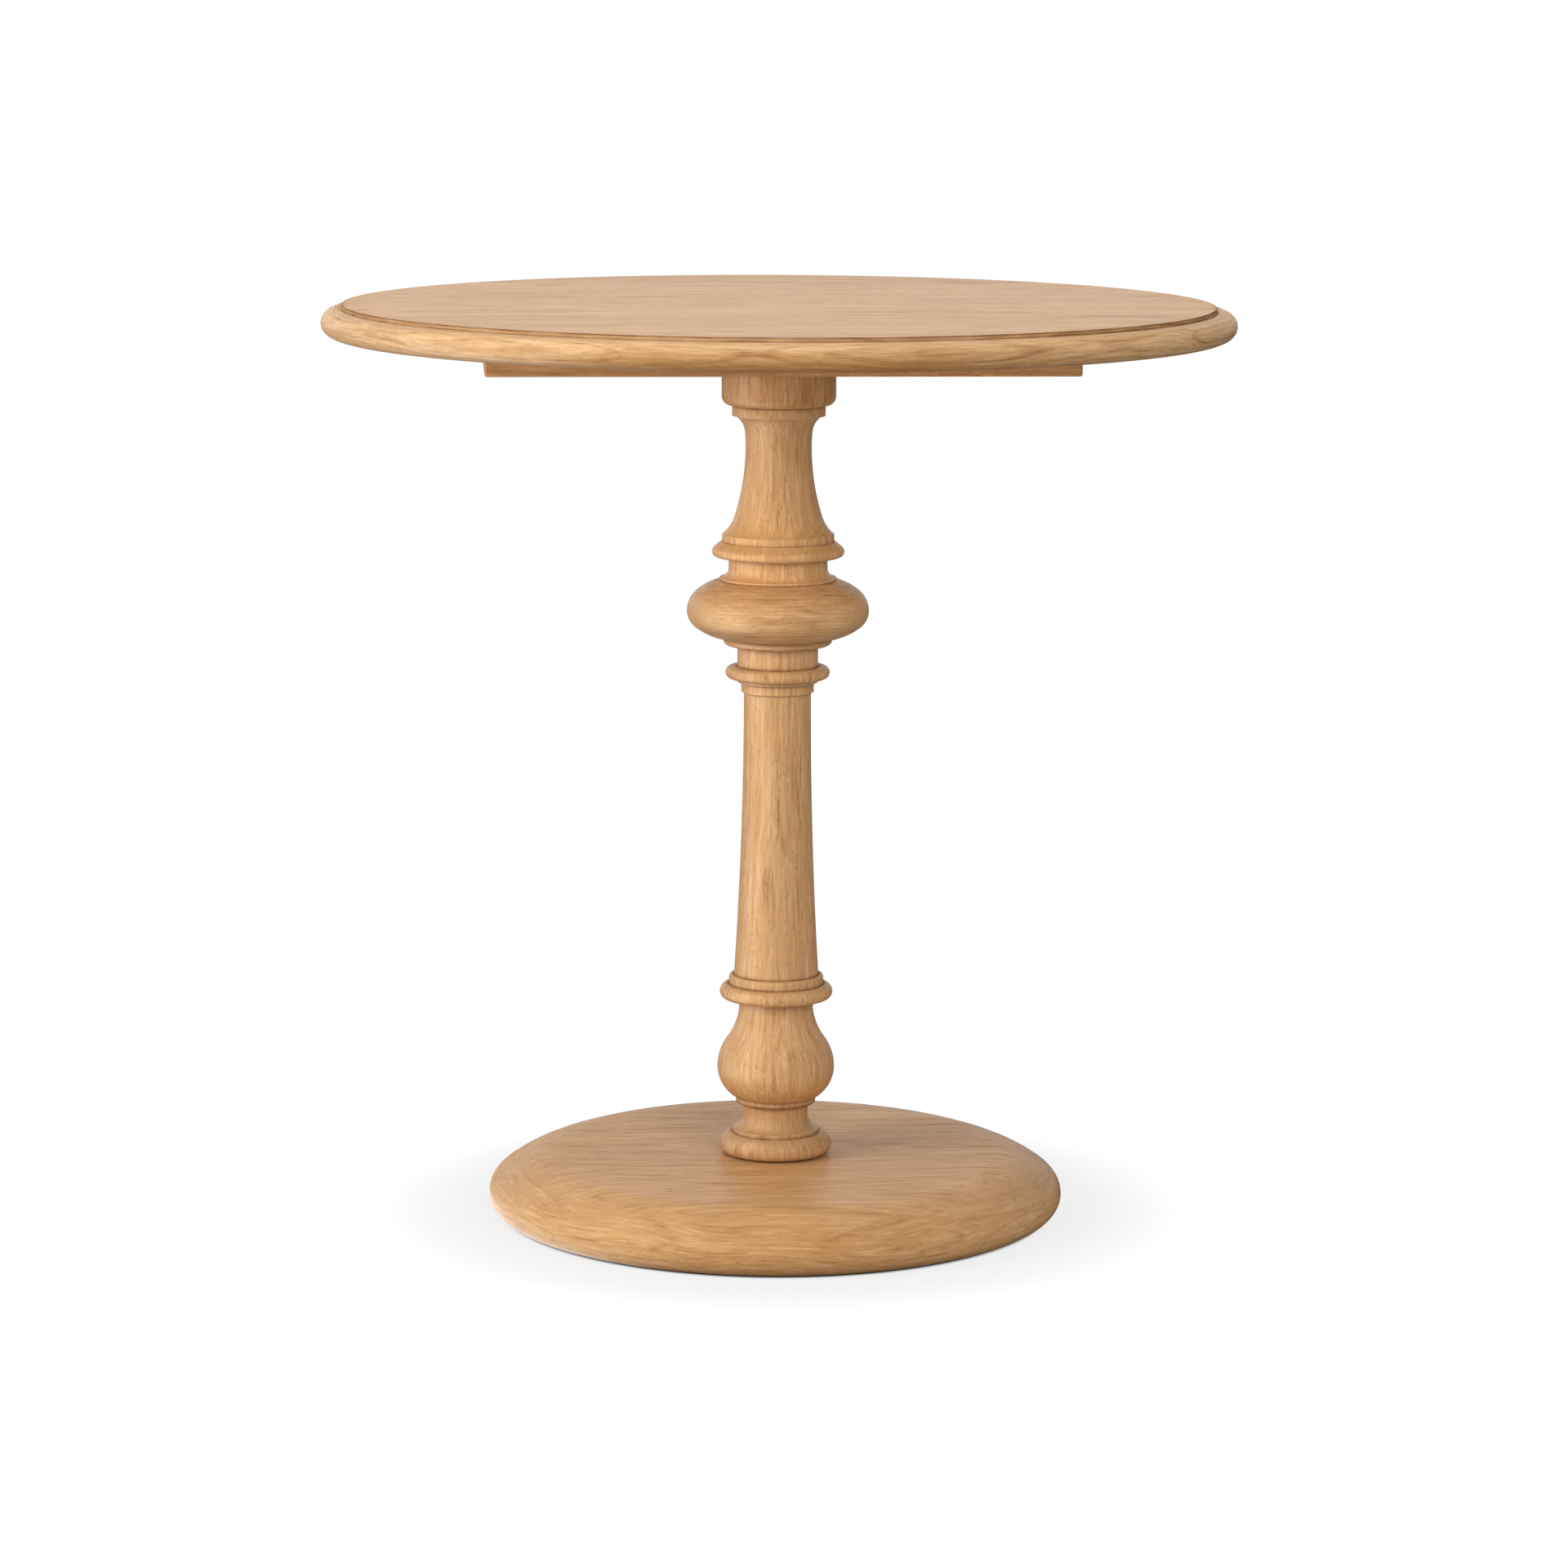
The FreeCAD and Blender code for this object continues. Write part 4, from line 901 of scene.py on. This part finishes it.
zinc = small_part("zinc_steel", (0.66, 0.67, 0.68, 1), (0.44, 0.45, 0.47, 1), 1.0, 0.34, 0.0006, 0.15)
brass = small_part("plain_brass", (0.72, 0.52, 0.22, 1), (0.48, 0.33, 0.13, 1), 1.0, 0.36, 0.0006, 0.15)
nylon = small_part("black_nylon", (0.045, 0.044, 0.043, 1), (0.022, 0.022, 0.023, 1), 0.0, 0.48, 0.0005, 0.35)
steel_nodes = ["bearer_screws", "tie_rod", "upper_washer", "upper_nut", "lower_washer", "lower_nut"]
steel_nodes += [f"glide_stem_{number}" for number in range(1, GLIDES + 1)]
finishes = {node: zinc for node in steel_nodes}
finishes.update({f"glide_pad_{number}": nylon for number in range(1, GLIDES + 1)})
finishes["glide_inserts"] = brass
for node, material in finishes.items():
    dress(node, material)
print("Small parts dressed:", len(finishes))

# %% [markdown]
# ## Floor, light and camera
# The photograph is a plain studio shot: a table on white paper that sweeps up behind it, one soft lamp at its
# left, a larger one in front, a weak one above, and light from all round. The floor keeps a real shadow, and
# the camera sees it lifted to white, which Light Path allows without adding any light to the table. Near the
# base the lift is lower, which paints the floor there greyer as a soft shadow on top of the real one, and just
# under the base's edge there is no lift, which paints a dark contact line. From below the floor is clear, so
# that the underside can be looked at. The lamps themselves are left out of reflections, where they would burn
# out the wood's sheen in low views. A gloss sees the paper instead, and at the left a soft card, which is
# brighter than the paper and gives the column and the rims their pale highlights.

# %% Floor and world
AMBIENT = 0.38
ROOM = 0.12
PAPER, GLOSSY_PAPER, FAINT_PAPER = 0.42, 0.10, 0.10
FLOOR_GLOSS = 0.20
NEAR_LIFT, FAR_LIFT, NEAR, FAR = 0.815, 0.985, 0.24, 0.40
SOLE_INSIDE, SOLE_OUTSIDE = 0.006, 0.002
FLOOR_HALF = 40.0
SWEEP_WAY, CARD_WAY = (-0.77, 0.64, 0.0), (-0.95, -0.30, 0.0)
LOW_CARD, HIGH_CARD, FLOOR_CARD = 0.6, 2.0, 2.6


def sweep_share(tree, way, paper, low_card, high_card):
    """What a gloss sees: white paper behind the table and to its left, a card at its left, and a dim room."""
    level = vector_node(tree, "NORMALIZE", scaled(tree, way, (1, 1, 0)))[0]
    facing = vector_node(tree, "DOT_PRODUCT", level, SWEEP_WAY)["Value"]
    to_card = vector_node(tree, "DOT_PRODUCT", level, CARD_WAY)["Value"]
    height = add(tree, "SeparateXYZ", {0: way}).outputs["Z"]
    sheet = math_node(tree, "MULTIPLY", between(tree, facing, -0.2, 0.5, ROOM * paper, paper),
                      between(tree, height, 0.12, 0.40, 1.0, 0.5))
    card = math_node(tree, "MULTIPLY", between(tree, to_card, 0.6, 0.95),
                     between(tree, height, 0.25, 0.65, low_card, high_card))
    return math_node(tree, "ADD", sheet, card)


def seen(tree, for_light, for_gloss, for_camera):
    """A value for light on its way, for a gloss, and for what the camera or glass looks at."""
    path = add(tree, "LightPath", {}).outputs
    direct = math_node(tree, "MAXIMUM", path["Is Camera Ray"], path["Is Transmission Ray"])
    return ranged(tree, direct, ranged(tree, path["Is Glossy Ray"], for_light, for_gloss), for_camera)


floor_mesh = bpy.data.meshes.new("studio_floor")
corners = [(x * FLOOR_HALF, y * FLOOR_HALF, 0) for x, y in ((-1, -1), (1, -1), (1, 1), (-1, 1))]
floor_mesh.from_pydata(corners, [], [(0, 1, 2, 3)])
floor = bpy.data.objects.new("studio_floor", floor_mesh)
bpy.context.scene.collection.objects.link(floor)
paper = bpy.data.materials.new("white_paper")
paper.use_nodes = True
tree = paper.node_tree
tree.nodes.remove(tree.nodes["Principled BSDF"])
lit = add(tree, "BsdfDiffuse", {"Color": seen(tree, PAPER, GLOSSY_PAPER, FAINT_PAPER)})
spot = add(tree, "TexCoord", {}).outputs["Object"]
away = vector_node(tree, "LENGTH", spot)["Value"]
mirrored = sweep_share(tree, spot, FLOOR_GLOSS, FLOOR_CARD, FLOOR_CARD)
# Lower lift near the base: painted shade round it, on top of the real shadow.
lift = seen(tree, 0.0, mirrored, between(tree, away, NEAR, FAR, NEAR_LIFT, FAR_LIFT))
sole = (BASE_RADIUS - LOWER_RUN) * MM
# No lift just under the base's edge: a painted dark contact line.
lift = math_node(tree, "MULTIPLY", lift, between(tree, away, sole - SOLE_INSIDE, sole + SOLE_OUTSIDE))
glow = add(tree, "Emission", {"Color": (1, 1, 1, 1), "Strength": lift})
both = add(tree, "AddShader", {0: lit.outputs[0], 1: glow.outputs[0]})
below = add(tree, "NewGeometry", {}).outputs["Backfacing"]
clear = add(tree, "BsdfTransparent", {})
shown = add(tree, "MixShader", {0: below, 1: both.outputs[0], 2: clear.outputs[0]})
tree.links.new(shown.outputs[0], tree.nodes["Material Output"].inputs["Surface"])
floor_mesh.materials.append(paper)

world = bpy.data.worlds.new("studio")
bpy.context.scene.world = world
world.use_nodes = True
tree = world.node_tree
way = add(tree, "TexCoord", {}).outputs["Generated"]
mirrored = sweep_share(tree, way, 1.0, LOW_CARD, HIGH_CARD)
tree.links.new(seen(tree, AMBIENT, mirrored, 1.0), tree.nodes["Background"].inputs["Strength"])
tree.nodes["Background"].inputs["Color"].default_value = (1, 1, 1, 1)
print("Floor and world ready")

# %% Lamps
def softbox(name, turn, distance, height, target, width, tall, power):
    """A soft rectangular lamp, its turn in degrees to the left of the table's front."""
    lamp = bpy.data.lights.new(name, "AREA")
    lamp.shape = "RECTANGLE"
    lamp.size, lamp.size_y = width, tall
    lamp.energy = power
    holder = bpy.data.objects.new(name, lamp)
    bpy.context.scene.collection.objects.link(holder)
    angle = math.radians(turn)
    place = Vector((-math.sin(angle) * distance, -math.cos(angle) * distance, height))
    holder.location = place
    holder.rotation_mode = "QUATERNION"
    holder.rotation_quaternion = (Vector((0, 0, target)) - place).to_track_quat("-Z", "Y")
    holder.visible_camera = holder.visible_glossy = False


softbox("side_light", 66, 2.6, 1.15, 0.50, 1.1, 1.3, 42.0)
softbox("front_light", -14, 3.6, 1.70, 0.50, 2.6, 2.0, 72.0)
softbox("top_light", 45, 0.4, 3.00, 0.76, 1.6, 1.6, 28.0)

# %% [markdown]
# The camera was worked out from the photograph's own perspective: a long lens about four metres away, a
# little above the table top, looking slightly down. The photograph leans by a quarter of a degree, so the
# camera rolls.

# %% Camera
CAMERA_DISTANCE, CAMERA_HEIGHT, AIM_HEIGHT = 4.1178, 1.0561, 0.3624
CAMERA_TURN, CAMERA_ASIDE, CAMERA_ROLL = math.radians(-4.0), 0.0058, 0.0050
SENSOR_WIDTH, FOCAL_LENGTH = 36.0, 115.02
lens = bpy.data.cameras.new("camera")
lens.sensor_width, lens.lens = SENSOR_WIDTH, FOCAL_LENGTH
camera = bpy.data.objects.new("camera", lens)
bpy.context.scene.collection.objects.link(camera)
back = Vector((math.sin(CAMERA_TURN), -math.cos(CAMERA_TURN), 0))
aside = Vector((math.cos(CAMERA_TURN), math.sin(CAMERA_TURN), 0)) * CAMERA_ASIDE
place = back * CAMERA_DISTANCE + aside + Vector((0, 0, CAMERA_HEIGHT))
look = (aside + Vector((0, 0, AIM_HEIGHT)) - place).normalized()
right = look.cross(Vector((0, 0, 1))).normalized()
upward = right.cross(look)
rolled_right = right * math.cos(CAMERA_ROLL) + upward * math.sin(CAMERA_ROLL)
rolled_up = upward * math.cos(CAMERA_ROLL) - right * math.sin(CAMERA_ROLL)
camera.matrix_world = Matrix((
    (rolled_right.x, rolled_up.x, -look.x, place.x),
    (rolled_right.y, rolled_up.y, -look.y, place.y),
    (rolled_right.z, rolled_up.z, -look.z, place.z),
    (0, 0, 0, 1),
))
bpy.context.scene.camera = camera
bpy.context.scene.view_settings.view_transform = "Standard"
print("Camera at", [round(x, 3) for x in place])
